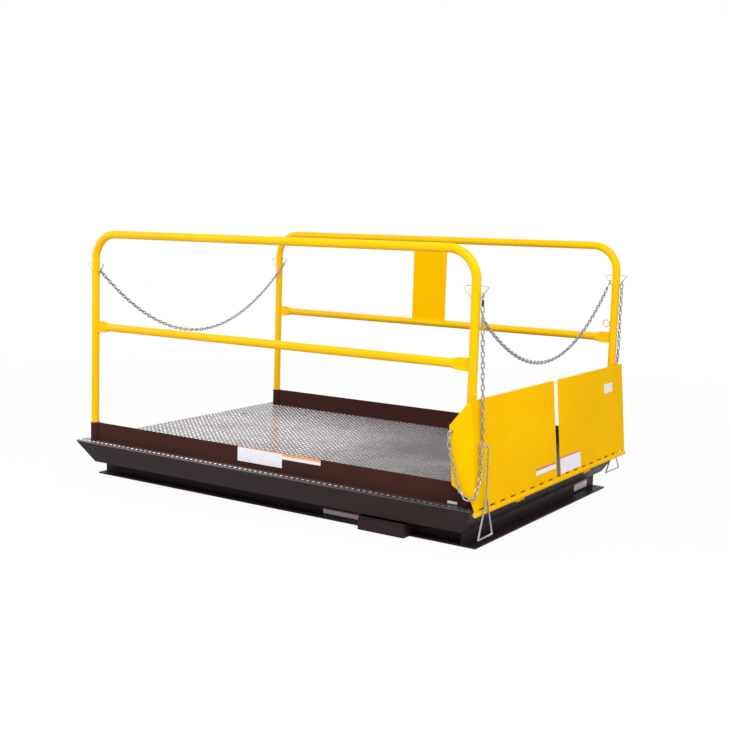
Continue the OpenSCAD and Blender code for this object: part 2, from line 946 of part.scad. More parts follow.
// Drawing of a side wing in the leaf's own frame
module wing_shape() {
    x1 = bridge_t / 2;
    x0 = -x1 - wing_h;
    difference() {
        polygon([[x1, 20], [-x1, 20], [-x1 - 18, wing_low - 60], [x0, wing_low],
            [x0, bridge_l - wing_high], [-x1, bridge_l], [x1, bridge_l]]);
        translate([x0 + wing_hole_edge, wing_hole_l])
            circle(d = wing_hole_d);
    }
}

// Barrel of a leaf round the hinge rod
module leaf_barrel(y0, y1) {
    difference() {
        cyl_y(knuckle_r, y0, y1);
        cyl_y(hinge_rod_d / 2 + pin_gap, y0 - 1, y1 + 1);
    }
}

// Far leaf, upright at the hinge axis
module leaf() {
    x = bridge_t / 2;
    difference() {
        union() {
            box([-x, bridge_gap / 2, 0], [x, leaf_y1, bridge_l]);
            slab_y(leaf_y1 - wing_t, leaf_y1)
                wing_shape();
        }
        for (y = knuckle_ys())
            if (y > -knuckle_l)
                translate([0, y - knuckle_l / 2 - 3, 0])
                    cyl_y(notch_r, 0, knuckle_l + 6);
        cyl_y(hinge_rod_d / 2 + pin_gap, -1, leaf_y1 + 1);
    }
    for (i = [0:knuckle_half - 1])
        leaf_barrel((i + 0.5) * knuckle_pitch - knuckle_l / 2, (i + 0.5) * knuckle_pitch + knuckle_l / 2);
    leaf_barrel(knuckle_half * knuckle_pitch + knuckle_l / 2 + 3.5, leaf_y1);
}

module bridge_leaf_far() {
    color(yellow)
        translate([hinge_x, 0, hinge_z])
            rotate([0, -leaf_tilt, 0])
                leaf();
}

module bridge_leaf_near() {
    color(yellow)
        mirror([0, 1, 0])
            translate([hinge_x, 0, hinge_z])
                rotate([0, -leaf_tilt, 0])
                    leaf();
}

// Side angle with its flange outwards and an anchor hole
module base_angle() {
    difference() {
        slab_x(base_x0, end_web_x0)
            polygon([[web_y0, 0], [base_w / 2, 0], [base_w / 2, base_t], [web_y1, base_t],
                [web_y1, base_h], [web_y0, base_h]]);
        translate([-anchor_x, base_w / 2 - anchor_side, -1])
            cylinder(d = anchor_d, h = base_t + 2);
    }
}

module base_angle_far() {
    color(dark)
        base_angle();
}

module base_angle_near() {
    color(dark)
        mirror([0, 1, 0])
            base_angle();
}

// Angle across the bridge end
module base_end_bridge() {
    y = base_w / 2;
    color(dark)
        difference() {
            slab_y(-y, y)
                polygon([[end_web_x0, 0], [base_x1, 0], [base_x1, base_t], [end_web_x1, base_t],
                    [end_web_x1, base_h], [end_web_x0, base_h]]);
            for (s = [-1, 1])
                translate([anchor_x, s * (y - anchor_side), -1])
                    cylinder(d = anchor_d, h = base_t + 2);
        }
}

// Angle across the open end, with its flange inwards
module base_end_open() {
    color(dark)
        slab_y(-web_y0, web_y0)
            polygon([[base_x0, 0], [base_x0 + base_flange, 0], [base_x0 + base_flange, base_t],
                [base_x0 + base_t, base_t], [base_x0 + base_t, base_h], [base_x0, base_h]]);
}

// Bars that the lower rollers run on
module base_tracks() {
    color(dark)
        both_sides()
            box([base_x0 + base_flange, track_y0, 0], [pivot_x - cross_w / 2, web_y0, track_t]);
}

// Flat bars across the base
module base_cross_bars() {
    color(dark)
        for (x = [roller_x + bar_in, pivot_x - bar_in])
            box([x - cross_w / 2, -track_y0, 0], [x + cross_w / 2, track_y0, base_t]);
}

// Foot plates with the lugs for the fixed pivots of the outer legs
module base_pivot_lugs() {
    color(dark)
        both_sides() {
            box([pivot_x - cross_w / 2, inner_y0, 0], [end_web_x0, web_y0, base_t]);
            for (y = [outer_y0 - lug_gap - lug_t, outer_y1 + lug_gap])
                translate([pivot_x, 0, 0])
                    slab_y(y, y + lug_t)
                        lug_shape(low_z, base_t);
        }
}

module base_pivot_pins() {
    color(steel)
        both_sides()
            translate([pivot_x, 0, low_z])
                cyl_y(pin_r, outer_y0 - lug_gap - lug_t - 4, outer_y1 + lug_gap + lug_t + 4);
}

// Box on the near side where hose and cable enter
module entry_box() {
    x1 = half_l - entry_in;
    x0 = x1 - entry_l;
    y1 = web_y1 + entry_out;
    t = entry_t;
    e = entry_slope;
    color(dark)
        mirror([0, 1, 0])
            difference() {
                slab_x(x0, x1)
                    polygon([[web_y1, base_t], [base_w / 2, base_t], [base_w / 2, 0], [y1, 0],
                        [y1, entry_h - e], [y1 - e, entry_h], [web_y1, entry_h]]);
                slab_x(x0 + t, x1 - t)
                    polygon([[web_y1 - 1, base_t + t], [base_w / 2 + t, base_t + t],
                        [base_w / 2 + t, -1], [y1 - t, -1],
                        [y1 - t, entry_h - e - t / 2], [y1 - e - t / 2, entry_h - t],
                        [web_y1 - 1, entry_h - t]]);
            }
}

// Drawing of a leg from its fixed pivot at the origin along +X
module leg_shape() {
    e = leg_end_r;
    h = leg_h / 2;
    difference() {
        union() {
            polygon([[0, -e], [leg_taper, -h], [leg_l - leg_taper, -h], [leg_l, -e],
                [leg_l, e], [leg_l - leg_taper, h], [leg_taper, h], [0, e]]);
            for (u = [0, leg_l])
                translate([u, 0])
                    circle(r = e);
            translate([leg_l / 2, 0])
                circle(r = leg_boss_r);
        }
        for (u = [0, leg_l / 2, leg_l])
            translate([u, 0])
                circle(r = pin_r + pin_gap);
    }
}

// Turns a drawing made along +X to a leg's direction at its fixed pivot
module along_outer() {
    translate([pivot_x, 0, low_z])
        rotate([0, 180 + lean, 0])
            children();
}

module along_inner() {
    translate([pivot_x, 0, high_z])
        rotate([0, 180 - lean, 0])
            children();
}

module outer_leg_far() {
    color(dark)
        along_outer()
            slab_y(outer_y0, outer_y1)
                leg_shape();
}

module outer_leg_near() {
    color(dark)
        along_outer()
            slab_y(-outer_y1, -outer_y0)
                leg_shape();
}

module inner_leg_far() {
    color(dark)
        along_inner()
            slab_y(inner_y0, inner_y1)
                leg_shape();
}

module inner_leg_near() {
    color(dark)
        along_inner()
            slab_y(-inner_y1, -inner_y0)
                leg_shape();
}

// Tubes that join the two outer legs
module outer_cross_tubes() {
    color(dark)
        along_outer()
            for (u = [cross_in, cyl_in, leg_l - cross_in])
                translate([u, 0, 0])
                    cyl_y(cross_r, -outer_y0, outer_y0);
}

// Tubes that join the two inner legs
module inner_cross_tubes() {
    color(dark)
        along_inner()
            for (u = [cross_in, leg_l - cyl_in, leg_l - cross_in])
                translate([u, 0, 0])
                    cyl_y(cross_r, -inner_y0, inner_y0);
}

// Pins where the legs cross
module centre_pins() {
    color(steel)
        both_sides()
            translate([centre_x, 0, centre_z])
                cyl_y(pin_r, inner_y0 - 4, outer_y1 + 2);
}

// Rollers with their axles, at the height z
module roller_pair(z, axle_y0) {
    both_sides()
        translate([roller_x, 0, z]) {
            difference() {
                cyl_y(roller_r, roller_y - roller_w / 2, roller_y + roller_w / 2);
                cyl_y(pin_r + pin_gap, 0, roller_y + roller_w);
            }
            cyl_y(pin_r, axle_y0, roller_y + roller_w / 2 + chan_side / 2);
        }
}

module upper_rollers() {
    color(steel)
        roller_pair(high_z, outer_y0 - 4);
}

module lower_rollers() {
    color(steel)
        roller_pair(low_z, inner_y0 - 4);
}

// Cylinder geometry: both pivots stay level with each other as the legs fold
cyl_z = low_z + cyl_in * sin(lean);
barrel_x = pivot_x - cyl_in * cos(lean);
rod_x = pivot_x - (leg_l - cyl_in) * cos(lean);
barrel_bottom = 60;
barrel_end = barrel_bottom + barrel_l;
gland_l = 30;
piston_start = barrel_end - gland_l - 5;

// Eye round a cross tube, with a neck towards the cylinder on its -X side
module cyl_eye(neck_l, neck_r) {
    difference() {
        union() {
            cyl_y(eye_r, -eye_w / 2, eye_w / 2);
            translate([-neck_l, 0, 0])
                rotate([0, 90, 0])
                    cylinder(r = neck_r, h = neck_l);
        }
        cyl_y(cross_r + pin_gap, -eye_w, eye_w);
    }
}

module cylinder_barrels() {
    bore = barrel_r - barrel_wall;
    color(grey)
        both_sides()
            translate([barrel_x, cyl_y, cyl_z]) {
                difference() {
                    union() {
                        cyl_eye(barrel_bottom, barrel_r - 6);
                        translate([-barrel_end, 0, 0])
                            rotate([0, 90, 0])
                                cylinder(r = barrel_r, h = barrel_l);
                    }
                    translate([-barrel_end + gland_l, 0, 0])
                        rotate([0, 90, 0])
                            cylinder(r = bore, h = barrel_l - gland_l - 10);
                    translate([-barrel_end - 1, 0, 0])
                        rotate([0, 90, 0])
                            cylinder(r = rod_r + pin_gap, h = gland_l + 2);
                }
            }
}

module cylinder_rods() {
    rod_l = barrel_x - piston_start - rod_x;
    bore = barrel_r - barrel_wall;
    color(steel)
        both_sides()
            translate([rod_x, cyl_y, cyl_z]) {
                mirror([1, 0, 0])
                    cyl_eye(eye_r + 20, rod_r);
                translate([eye_r + 20, 0, 0])
                    rotate([0, 90, 0])
                        cylinder(r = rod_r, h = rod_l - eye_r - 20);
                translate([rod_l, 0, 0])
                    rotate([0, 90, 0])
                        cylinder(r = bore - pin_gap, h = piston_l);
            }
}

deck_plate();
deck_ribs();
deck_channels();
deck_end_members();
deck_pivot_lugs();
deck_pivot_pins();
toe_guard_near();
toe_guard_far();
toe_guard_open();
toe_guard_bridge();
rail_sockets();
kick_plate_near();
kick_plate_far();
rail_hoop_near();
rail_hoop_far();
mid_rail_near();
mid_rail_far();
rail_panel();
chain_hooks();
parking_ring();
open_end_chain();
bridge_end_chain();
lift_chain_near();
lift_chain_far();
pull_handle_near();
pull_handle_far();
hinge_strip();
hinge_rods();
bridge_leaf_near();
bridge_leaf_far();
base_angle_near();
base_angle_far();
base_end_bridge();
base_end_open();
base_tracks();
base_cross_bars();
base_pivot_lugs();
base_pivot_pins();
entry_box();
outer_leg_near();
outer_leg_far();
outer_cross_tubes();
centre_pins();
upper_rollers();
inner_leg_near();
inner_leg_far();
inner_cross_tubes();
lower_rollers();
cylinder_barrels();
cylinder_rods();
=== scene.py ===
"""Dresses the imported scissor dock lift: finishes, tread lugs, chain links, welds, plates and the stage."""

import json
import math

import bmesh
import bpy
from mathutils import Matrix, Vector

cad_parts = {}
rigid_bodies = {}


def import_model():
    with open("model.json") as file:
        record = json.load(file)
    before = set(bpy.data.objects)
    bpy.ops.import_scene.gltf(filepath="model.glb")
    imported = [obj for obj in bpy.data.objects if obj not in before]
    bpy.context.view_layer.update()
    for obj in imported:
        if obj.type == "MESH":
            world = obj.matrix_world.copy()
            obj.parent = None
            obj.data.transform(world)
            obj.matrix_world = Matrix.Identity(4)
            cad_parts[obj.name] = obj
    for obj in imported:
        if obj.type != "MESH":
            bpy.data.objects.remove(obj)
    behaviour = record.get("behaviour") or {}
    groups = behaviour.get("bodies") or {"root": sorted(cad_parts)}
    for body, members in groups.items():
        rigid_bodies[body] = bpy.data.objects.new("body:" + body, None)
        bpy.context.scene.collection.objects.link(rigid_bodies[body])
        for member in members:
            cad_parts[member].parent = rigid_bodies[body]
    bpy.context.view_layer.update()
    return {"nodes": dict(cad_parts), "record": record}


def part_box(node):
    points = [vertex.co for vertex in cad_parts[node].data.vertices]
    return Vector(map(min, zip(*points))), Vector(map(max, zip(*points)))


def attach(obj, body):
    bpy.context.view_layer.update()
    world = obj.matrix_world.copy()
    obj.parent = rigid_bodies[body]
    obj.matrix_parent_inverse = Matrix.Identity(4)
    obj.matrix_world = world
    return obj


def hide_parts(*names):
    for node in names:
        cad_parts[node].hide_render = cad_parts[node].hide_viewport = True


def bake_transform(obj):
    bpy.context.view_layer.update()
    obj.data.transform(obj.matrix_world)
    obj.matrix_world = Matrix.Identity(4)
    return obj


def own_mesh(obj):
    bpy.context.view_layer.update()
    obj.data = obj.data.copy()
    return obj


bl_info = {
    "name": "Scissor dock lift",
    "version": (1, 0, 0),
    "blender": (4, 5, 0),
    "location": "3D View > Sidebar > Dock lift",
    "description": "Finishes, tread, chains, welds and plates for a low scissor dock lift",
    "category": "Object",
}

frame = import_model()
NODES = frame["nodes"]


def middle(node, axis):
    """The middle of a node's box along an axis."""
    return sum(corner[axis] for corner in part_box(node)) / 2


# Places read from the frame, in metres
DECK_LOW, DECK_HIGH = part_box("deck_plate")
DECK_Z = DECK_HIGH[2]
HOOP_LOW, HOOP_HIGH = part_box("rail_hoop_far")
TUBE_R = (HOOP_HIGH[1] - HOOP_LOW[1]) / 2
POST_OPEN = HOOP_LOW[0] + TUBE_R
POST_BRIDGE = HOOP_HIGH[0] - TUBE_R
POSTS = ((POST_OPEN, 1), (POST_BRIDGE, -1))  # each with the way towards the other
RAIL_Y = middle("rail_hoop_far", 1)
MID_Z = middle("mid_rail_far", 2)
HINGE_X, HINGE_Z = middle("hinge_rods", 0), middle("hinge_rods", 2)
JOINTS = {j["name"]: Vector(j["pos_m"]) for j in frame["record"]["behaviour"]["joints"]}
LEG_L = 2 * (JOINTS["leg_cross"] - JOINTS["lift"]).length
LEAN = math.asin((JOINTS["deck_pivot"].z - JOINTS["lift"].z) / LEG_L)

# The stowed bridge leaves, their side wings and the chain holes in them
LEAF_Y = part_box("bridge_leaf_far")[1][1]
LEAF_L = 0.5
LEAF_HALF = 0.004
LEAN_GAP = 0.004
TILT = math.atan((HINGE_X - POST_BRIDGE - TUBE_R - LEAN_GAP - LEAF_HALF) / LEAF_L)
WING_H = 0.104
WING_HALF = 0.003
WING_HOLE_L = 0.365
WING_HOLE_EDGE = 0.012

# Hooks, rings and chains
HOOK_Z = DECK_Z + 0.943
HOOK_SEAT = 0.034  # from a post's middle
HOOK_RING = 0.00987
RING_WIRE = 0.0025
RING_R = 0.012
RING_PLAY = 0.0006
SNAP_WIRE = 0.0013
NEAR_OUT, NEAR_DROP = 0.062, 0.646  # of the near lifting chain's ring, from the post and the hook
NEAR_RING = Vector((POST_BRIDGE + NEAR_OUT, -RAIL_Y, HOOK_Z - NEAR_DROP))
FAR_RING = Vector((DECK_HIGH[0] - 0.054, DECK_HIGH[1] + 0.053, 0.494))
UP = Vector((0, 0, 1))
SLANT = Vector((0, -1, -1)).normalized()  # of a slack chain where it leaves its ring
OPEN_SAG, BRIDGE_SAG = 0.370, 0.300
BRIDGE_START = 0.110  # of the bridge-end chain on the near lifting chain, below the hook
ACROSS = {"side": (1.0, 0.0, 0.0), "twist": 0.1}  # how the links of the two safety chains lie

# Small parts
LUG_BAND, LUG_HOLE = 0.012, 0.02  # half width and radius left bare on the deck
HOLE_END, HOLE_Y = 0.154, 0.4  # of the deck's holes, from its ends and its middle
LEAF_MARGINS = 0.045, 0.025, 0.012, 0.028  # round a leaf's lugs: hinge, tip, inner side, wing
PLATE_CORNER = 0.0012
BASE_FACE = -0.729  # near base angle's upright face
KICK_HALF = 0.003
MID_FLAT, MID_FLAT_H = 0.0045, 0.029  # half thickness and half height of a middle rail's ends
GUARD_W = 0.073
CROSS_BEAD_R = 0.0255
BEAD_OUT = 0.0005  # from a face to the middle of its bead
KEEPER_R, KEEPER_WIRE = 0.0165, 0.0015
KEEPER_SPAN = 0.070  # between the two keepers of a pivot pin
CYLINDER_Y = 0.25

# Photograph's camera: place in metres, yaw, pitch and roll in degrees, shift in parts of the picture
CAMERA_PLACE = (3.4581, -5.4074, 1.4645)
CAMERA_TURN = (35.204, -6.537, 1.380)
CAMERA_SHIFT = (65 / 730, -15 / 730)

# Stage
FLOOR_HALF = 60.0
FLOOR_FADE = {"From_Min": 2.2, "From_Max": 6.0, "To_Min": 0.93, "To_Max": 1.0}
WHITE = (1.0, 1.0, 1.0, 1.0)


# ---- meshes ----


def add_object(name, data):
    """A new object in the scene."""
    made = bpy.data.objects.new(name, data)
    bpy.context.scene.collection.objects.link(made)
    return made


def new_piece(name, mesh, body, finish=None, replaced=()):
    """Adds a mesh as a piece that rides on a body, with a finish unless it has its material."""
    piece = add_object(name, mesh)
    if finish:
        mesh.materials.clear()
        mesh.materials.append(finish_of(finish))
    if body:
        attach(piece, body)
    if replaced:
        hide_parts(*replaced)
    return piece


def mesh_of(bm, name, smooth=True):
    """Turns a bmesh into a mesh with outward faces."""
    bmesh.ops.recalc_face_normals(bm, faces=bm.faces)
    mesh = bpy.data.meshes.new(name)
    bm.to_mesh(mesh)
    bm.free()
    for face in mesh.polygons:
        face.use_smooth = smooth
    return mesh


def full_turn(count):
    """Evenly spaced angles of a full turn."""
    return [2 * math.pi * i / count for i in range(count)]


def stitch(bm, loops, closed=False):
    """Joins each loop of points to the next with quads, and the last to the first if closed."""
    for one, two in zip(loops, loops[1:] + loops[:1] if closed else loops[1:]):
        for k in range(len(one)):
            j = (k + 1) % len(one)
            bm.faces.new((one[k], one[j], two[j], two[k]))


def add_ring(bm, centre, axis, big, small, around=28, section=10):
    """Adds a wire ring to a bmesh."""
    turn = UP.rotation_difference(Vector(axis)).to_matrix()
    loops = []
    for a in full_turn(around):
        loop = []
        for b in full_turn(section):
            r = big + small * math.cos(b)
            p = turn @ Vector((r * math.cos(a), r * math.sin(a), small * math.sin(b)))
            loop.append(bm.verts.new(Vector(centre) + p))
        loops.append(loop)
    stitch(bm, loops, closed=True)


def add_tube(bm, path, radius, section=10):
    """Adds a closed round tube along a path; radius is one number or one for each point."""
    points = [Vector(p) for p in path]
    radii = [radius] * len(points) if isinstance(radius, (int, float)) else radius
    side = None
    loops = []
    for i, p in enumerate(points):
        t = (points[min(i + 1, len(points) - 1)] - points[max(i - 1, 0)]).normalized()
        if side is None:
            side = t.orthogonal().normalized()
        side = (side - t * side.dot(t)).normalized()
        up = t.cross(side)
        loops.append([bm.verts.new(p + radii[i] * (math.cos(b) * side + math.sin(b) * up))
                      for b in full_turn(section)])
    stitch(bm, loops)
    bm.faces.new(loops[0][::-1])
    bm.faces.new(loops[-1])


def add_plate(bm, low, high, corner, axis, steps=4):
    """Adds a thin plate with round corners between two opposite corners; axis is its thin direction."""
    u, v = [i for i in range(3) if i != axis]
    flat = []
    for cu, cv, start in ((1, 1, 0), (0, 1, 90), (0, 0, 180), (1, 0, 270)):
        mid_u = high[u] - corner if cu else low[u] + corner
        mid_v = high[v] - corner if cv else low[v] + corner
        for k in range(steps + 1):
            a = math.radians(start + 90 * k / steps)
            flat.append((mid_u + corner * math.cos(a), mid_v + corner * math.sin(a)))
    sides = []
    for level in (low[axis], high[axis]):
        loop = []
        for pu, pv in flat:
            p = [0, 0, 0]
            p[u], p[v], p[axis] = pu, pv, level
            loop.append(bm.verts.new(p))
        sides.append(loop)
    bm.faces.new(sides[0][::-1])
    bm.faces.new(sides[1])
    stitch(bm, sides)


def smooth_route(points, steps=6):
    """Smooth curve through route points, as in the CAD."""
    p = [Vector(q) for q in points]
    out = []
    for i in range(len(p) - 1):
        a, b, c, d = p[max(i - 1, 0)], p[i], p[i + 1], p[min(i + 2, len(p) - 1)]
        for k in range(steps):
            t = k / steps
            out.append(0.5 * (2 * b + (c - a) * t + (2 * a - 5 * b + 4 * c - d) * t * t
                              + (3 * b - a - 3 * c + d) * t ** 3))
    out.append(p[-1])
    return out


def sagging(p, q, sag, count=60):
    """Points of a sagging chain from p to q."""
    p, q = Vector(p), Vector(q)
    out = []
    for i in range(count + 1):
        t = i / count
        out.append(p + (q - p) * t - 4 * sag * t * (1 - t) * UP)
    return out


def inset(points, first, last):
    """The route shortened by a length at each end."""
    pts = [Vector(p) for p in points]
    for left in (first, last):
        while (pts[1] - pts[0]).length < left:
            left -= (pts[1] - pts[0]).length
            pts.pop(0)
        pts[0] = pts[0] + (pts[1] - pts[0]).normalized() * left
        pts.reverse()
    return pts


def on_leaf(along, inward):
    """X and z of a point on a stowed leaf: along it from the hinge, and in from its middle plane."""
    return (HINGE_X - along * math.sin(TILT) - inward * math.cos(TILT),
            HINGE_Z + along * math.cos(TILT) - inward * math.sin(TILT))


# ---- node trees ----


class Nodes:
    """Adds linked nodes to a node tree."""

    def __init__(self, tree):
        self.tree = tree

    def node(self, kind, settings=None, **inputs):
        """Adds a node; an input, by name or as i and number, is a value, a socket or a node's output."""
        made = self.tree.nodes.new(kind)
        for key, value in (settings or {}).items():
            setattr(made, key, value)
        for key, value in inputs.items():
            socket = made.inputs[int(key[1:]) if key[1:].isdigit() else key.replace("_", " ")]
            if isinstance(value, (bpy.types.Node, bpy.types.NodeSocket)):
                self.link(value, socket)
            else:
                socket.default_value = value
        return made

    def link(self, value, socket):
        """Links a socket, or a node's first output, to an input."""
        self.tree.links.new(value.outputs[0] if isinstance(value, bpy.types.Node) else value, socket)

    def math(self, operation, a, b=0.0):
        """A calculation with one or two values."""
        return self.node("ShaderNodeMath", {"operation": operation}, i0=a, i1=b)

    def seen_by(self, *rays):
        """1 for the kinds of ray that are named, 0 for others."""
        kinds = self.node("ShaderNodeLightPath").outputs
        seen = kinds[rays[0]]
        for ray in rays[1:]:
            seen = self.math("MAXIMUM", seen, kinds[ray])
        return seen


class Tree(Nodes):
    """A geometry node tree with named inputs and a material."""

    def __init__(self, name, inputs):
        super().__init__(bpy.data.node_groups.new(name, "GeometryNodeTree"))
        face = self.tree.interface
        face.new_socket(name="Geometry", in_out="INPUT", socket_type="NodeSocketGeometry")
        self.ids = {}
        for label, kind, default in inputs + [("Material", "Material", None)]:
            socket = face.new_socket(name=label, in_out="INPUT", socket_type="NodeSocket" + kind)
            if default is not None:
                socket.default_value = default
            self.ids[label] = socket.identifier
        face.new_socket(name="Geometry", in_out="OUTPUT", socket_type="NodeSocketGeometry")
        self.start = self.node("NodeGroupInput")

    def __getitem__(self, label):
        """One of the tree's inputs."""
        return self.start.outputs[label]

    def even_path(self, step):
        """The routes that the tree works on, in even steps."""
        curve = self.node("GeometryNodeMeshToCurve", i0=self["Geometry"])
        return self.node("GeometryNodeResampleCurve", {"mode": "LENGTH"}, Curve=curve, Length=self[step])

    def finish(self, geometry):
        """Ends the tree in real geometry with its material."""
        real = self.node("GeometryNodeRealizeInstances", i0=geometry)
        done = self.node("GeometryNodeSetMaterial", i0=real, Material=self["Material"])
        self.link(done, self.node("NodeGroupOutput").inputs[0])

    def apply(self, name, routes, **values):
        """Runs the tree on bare polylines and gives the resulting plain mesh."""
        verts, edges = [], []
        for route in routes:
            first = len(verts)
            verts += [tuple(p) for p in route]
            edges += [(i, i + 1) for i in range(first, len(verts) - 1)]
        mesh = bpy.data.meshes.new(name + "_route")
        mesh.from_pydata(verts, edges, [])
        base = add_object(name + "_base", mesh)
        modifier = base.modifiers.new("pattern", "NODES")
        modifier.node_group = self.tree
        for label, value in values.items():
            modifier[self.ids[label.replace("_", " ")]] = value
        graph = bpy.context.evaluated_depsgraph_get()
        result = bpy.data.meshes.new_from_object(base.evaluated_get(graph), depsgraph=graph)
        result.name = name
        base.modifiers.remove(modifier)
        bpy.data.objects.remove(base)
        if not len(result.polygons):
            raise RuntimeError(name + " came out empty")
        return result


def link_tree():
    """Chain links along a path, each turned a quarter from the one before."""
    t = Tree("Chain links", [("Pitch", "Float", 0.024), ("Wire", "Float", 0.005), ("Width", "Float", 0.017),
                             ("Side", "Vector", None), ("Twist", "Float", 0.0)])

    # One link: a circle of wire pulled apart to the pitch
    radius = t.math("MULTIPLY", t.math("SUBTRACT", t["Width"], t["Wire"]), 0.5)
    circle = t.node("GeometryNodeCurvePrimitiveCircle", Resolution=12, Radius=radius)
    turned = t.node("GeometryNodeTransform", Geometry=circle, Rotation=(0, 0, math.pi / 12))
    split = t.node("ShaderNodeSeparateXYZ", Vector=t.node("GeometryNodeInputPosition"))
    long = t.math("SUBTRACT", t.math("ADD", t["Pitch"], t["Wire"]), t.math("MULTIPLY", radius, 2.0))
    shift = t.math("MULTIPLY", t.math("SIGN", split), t.math("MULTIPLY", long, 0.5))
    longer = t.node("GeometryNodeSetPosition", Geometry=turned, Offset=t.node("ShaderNodeCombineXYZ", X=shift))
    wire = t.math("MULTIPLY", t["Wire"], 0.5)
    section = t.node("GeometryNodeCurvePrimitiveCircle", Resolution=6, Radius=wire)
    link = t.node("GeometryNodeCurveToMesh", Curve=longer, Profile_Curve=section)

    # How each link lies on the path
    along = t.node("FunctionNodeAlignRotationToVector", {"axis": "X"},
                   Vector=t.node("GeometryNodeInputTangent"))
    level = t.node("FunctionNodeAlignRotationToVector", {"axis": "Y", "pivot_axis": "X"},
                   Rotation=along, Vector=t["Side"])
    odd = t.math("MULTIPLY", t.math("MODULO", t.node("GeometryNodeInputIndex"), 2.0), math.pi / 2)
    roll = t.node("ShaderNodeCombineXYZ", X=t.math("ADD", odd, t["Twist"]))
    both = t.node("FunctionNodeRotateRotation", {"rotation_space": "LOCAL"}, Rotation=level, Rotate_By=roll)
    t.finish(t.node("GeometryNodeInstanceOnPoints", Points=t.even_path("Pitch"), Instance=link, Rotation=both))
    return t


def lug_tree():
    """Tread lugs in rows turned to and fro and staggered, with two bands and four holes bare."""
    t = Tree("Tread lugs", [("Length", "Float", 2.4), ("Width", "Float", 1.8), ("Count X", "Int", 150),
                            ("Count Y", "Int", 56), ("Lug length", "Float", 0.025),
                            ("Lug width", "Float", 0.007), ("Lug height", "Float", 0.002),
                            ("Band Y", "Float", 9.0), ("Band half", "Float", 0.0), ("Hole X", "Float", 9.0),
                            ("Hole Y", "Float", 9.0), ("Hole radius", "Float", 0.0),
                            ("Place", "Vector", None), ("Turn", "Vector", None)])
    grid = t.node("GeometryNodeMeshGrid", Size_X=t["Length"], Size_Y=t["Width"],
                  Vertices_X=t["Count X"], Vertices_Y=t["Count Y"])
    index = t.node("GeometryNodeInputIndex")
    odd = t.math("MODULO", t.math("FLOOR", t.math("DIVIDE", index, t["Count Y"])), 2.0)
    step = t.math("DIVIDE", t["Width"], t.math("SUBTRACT", t["Count Y"], 1.0))
    over = t.math("MULTIPLY", t.math("SUBTRACT", odd, 0.5), t.math("MULTIPLY", step, 0.5))
    staggered = t.node("GeometryNodeSetPosition", Geometry=grid, Offset=t.node("ShaderNodeCombineXYZ", Y=over))

    # Places that stay bare
    place = t.node("ShaderNodeSeparateXYZ", Vector=t.node("GeometryNodeInputPosition"))
    ax, ay = (t.math("ABSOLUTE", place.outputs[i]) for i in (0, 1))
    off_band = t.math("ABSOLUTE", t.math("SUBTRACT", ay, t["Band Y"]))
    in_band = t.math("LESS_THAN", off_band, t["Band half"])
    dx = t.math("SUBTRACT", ax, t["Hole X"])
    dy = t.math("SUBTRACT", ay, t["Hole Y"])
    far = t.math("SQRT", t.math("ADD", t.math("MULTIPLY", dx, dx), t.math("MULTIPLY", dy, dy)))
    in_hole = t.math("LESS_THAN", far, t["Hole radius"])
    kept = t.math("LESS_THAN", t.math("ADD", in_band, in_hole), 0.5)

    cone = t.node("GeometryNodeMeshCone", {"fill_type": "NGON"}, Vertices=6, Radius_Top=0.33, Radius_Bottom=0.5,
                  Depth=1.0)
    size = t.node("ShaderNodeCombineXYZ", X=t["Lug length"], Y=t["Lug width"], Z=t["Lug height"])
    lug = t.node("GeometryNodeTransform", Geometry=cone, Scale=size)
    angle = t.math("ADD", t.math("MULTIPLY", odd, math.pi / 2), math.pi / 4)
    copies = t.node("GeometryNodeInstanceOnPoints", Points=staggered, Selection=kept, Instance=lug,
                    Rotation=t.node("ShaderNodeCombineXYZ", Z=angle))
    t.finish(t.node("GeometryNodeTransform", Geometry=copies, Translation=t["Place"], Rotation=t["Turn"]))
    return t


def bead_tree():
    """A weld bead with its ripples along a path."""
    t = Tree("Weld bead", [("Size", "Float", 0.003), ("Ripple", "Float", 0.0045), ("Depth", "Float", 0.16)])
    wave = t.math("SINE", t.math("MULTIPLY", t.node("GeometryNodeInputIndex"), 2.4))
    thick = t.math("ADD", t.math("MULTIPLY", wave, t["Depth"]), 1.0)
    section = t.node("GeometryNodeCurvePrimitiveCircle", Resolution=6, Radius=t["Size"])
    bead = t.node("GeometryNodeCurveToMesh", Curve=t.even_path("Ripple"), Profile_Curve=section, Scale=thick,
                  Fill_Caps=True)
    t.finish(t.node("GeometryNodeSetShadeSmooth", i0=bead))
    return t


# ---- finishes ----

FINISHES = {}
OWN_FINISH = {"rail_hoop_near": "rail_paint", "rail_hoop_far": "rail_paint", "mid_rail_near": "rail_paint",
              "mid_rail_far": "rail_paint", "pull_handle_far": "handle_steel"}


def opaque(colour, factor=1.0):
    """A colour with its parts times a factor, and no more than 1."""
    return tuple(min(1.0, part * factor) for part in tuple(colour)[:3]) + (1.0,)


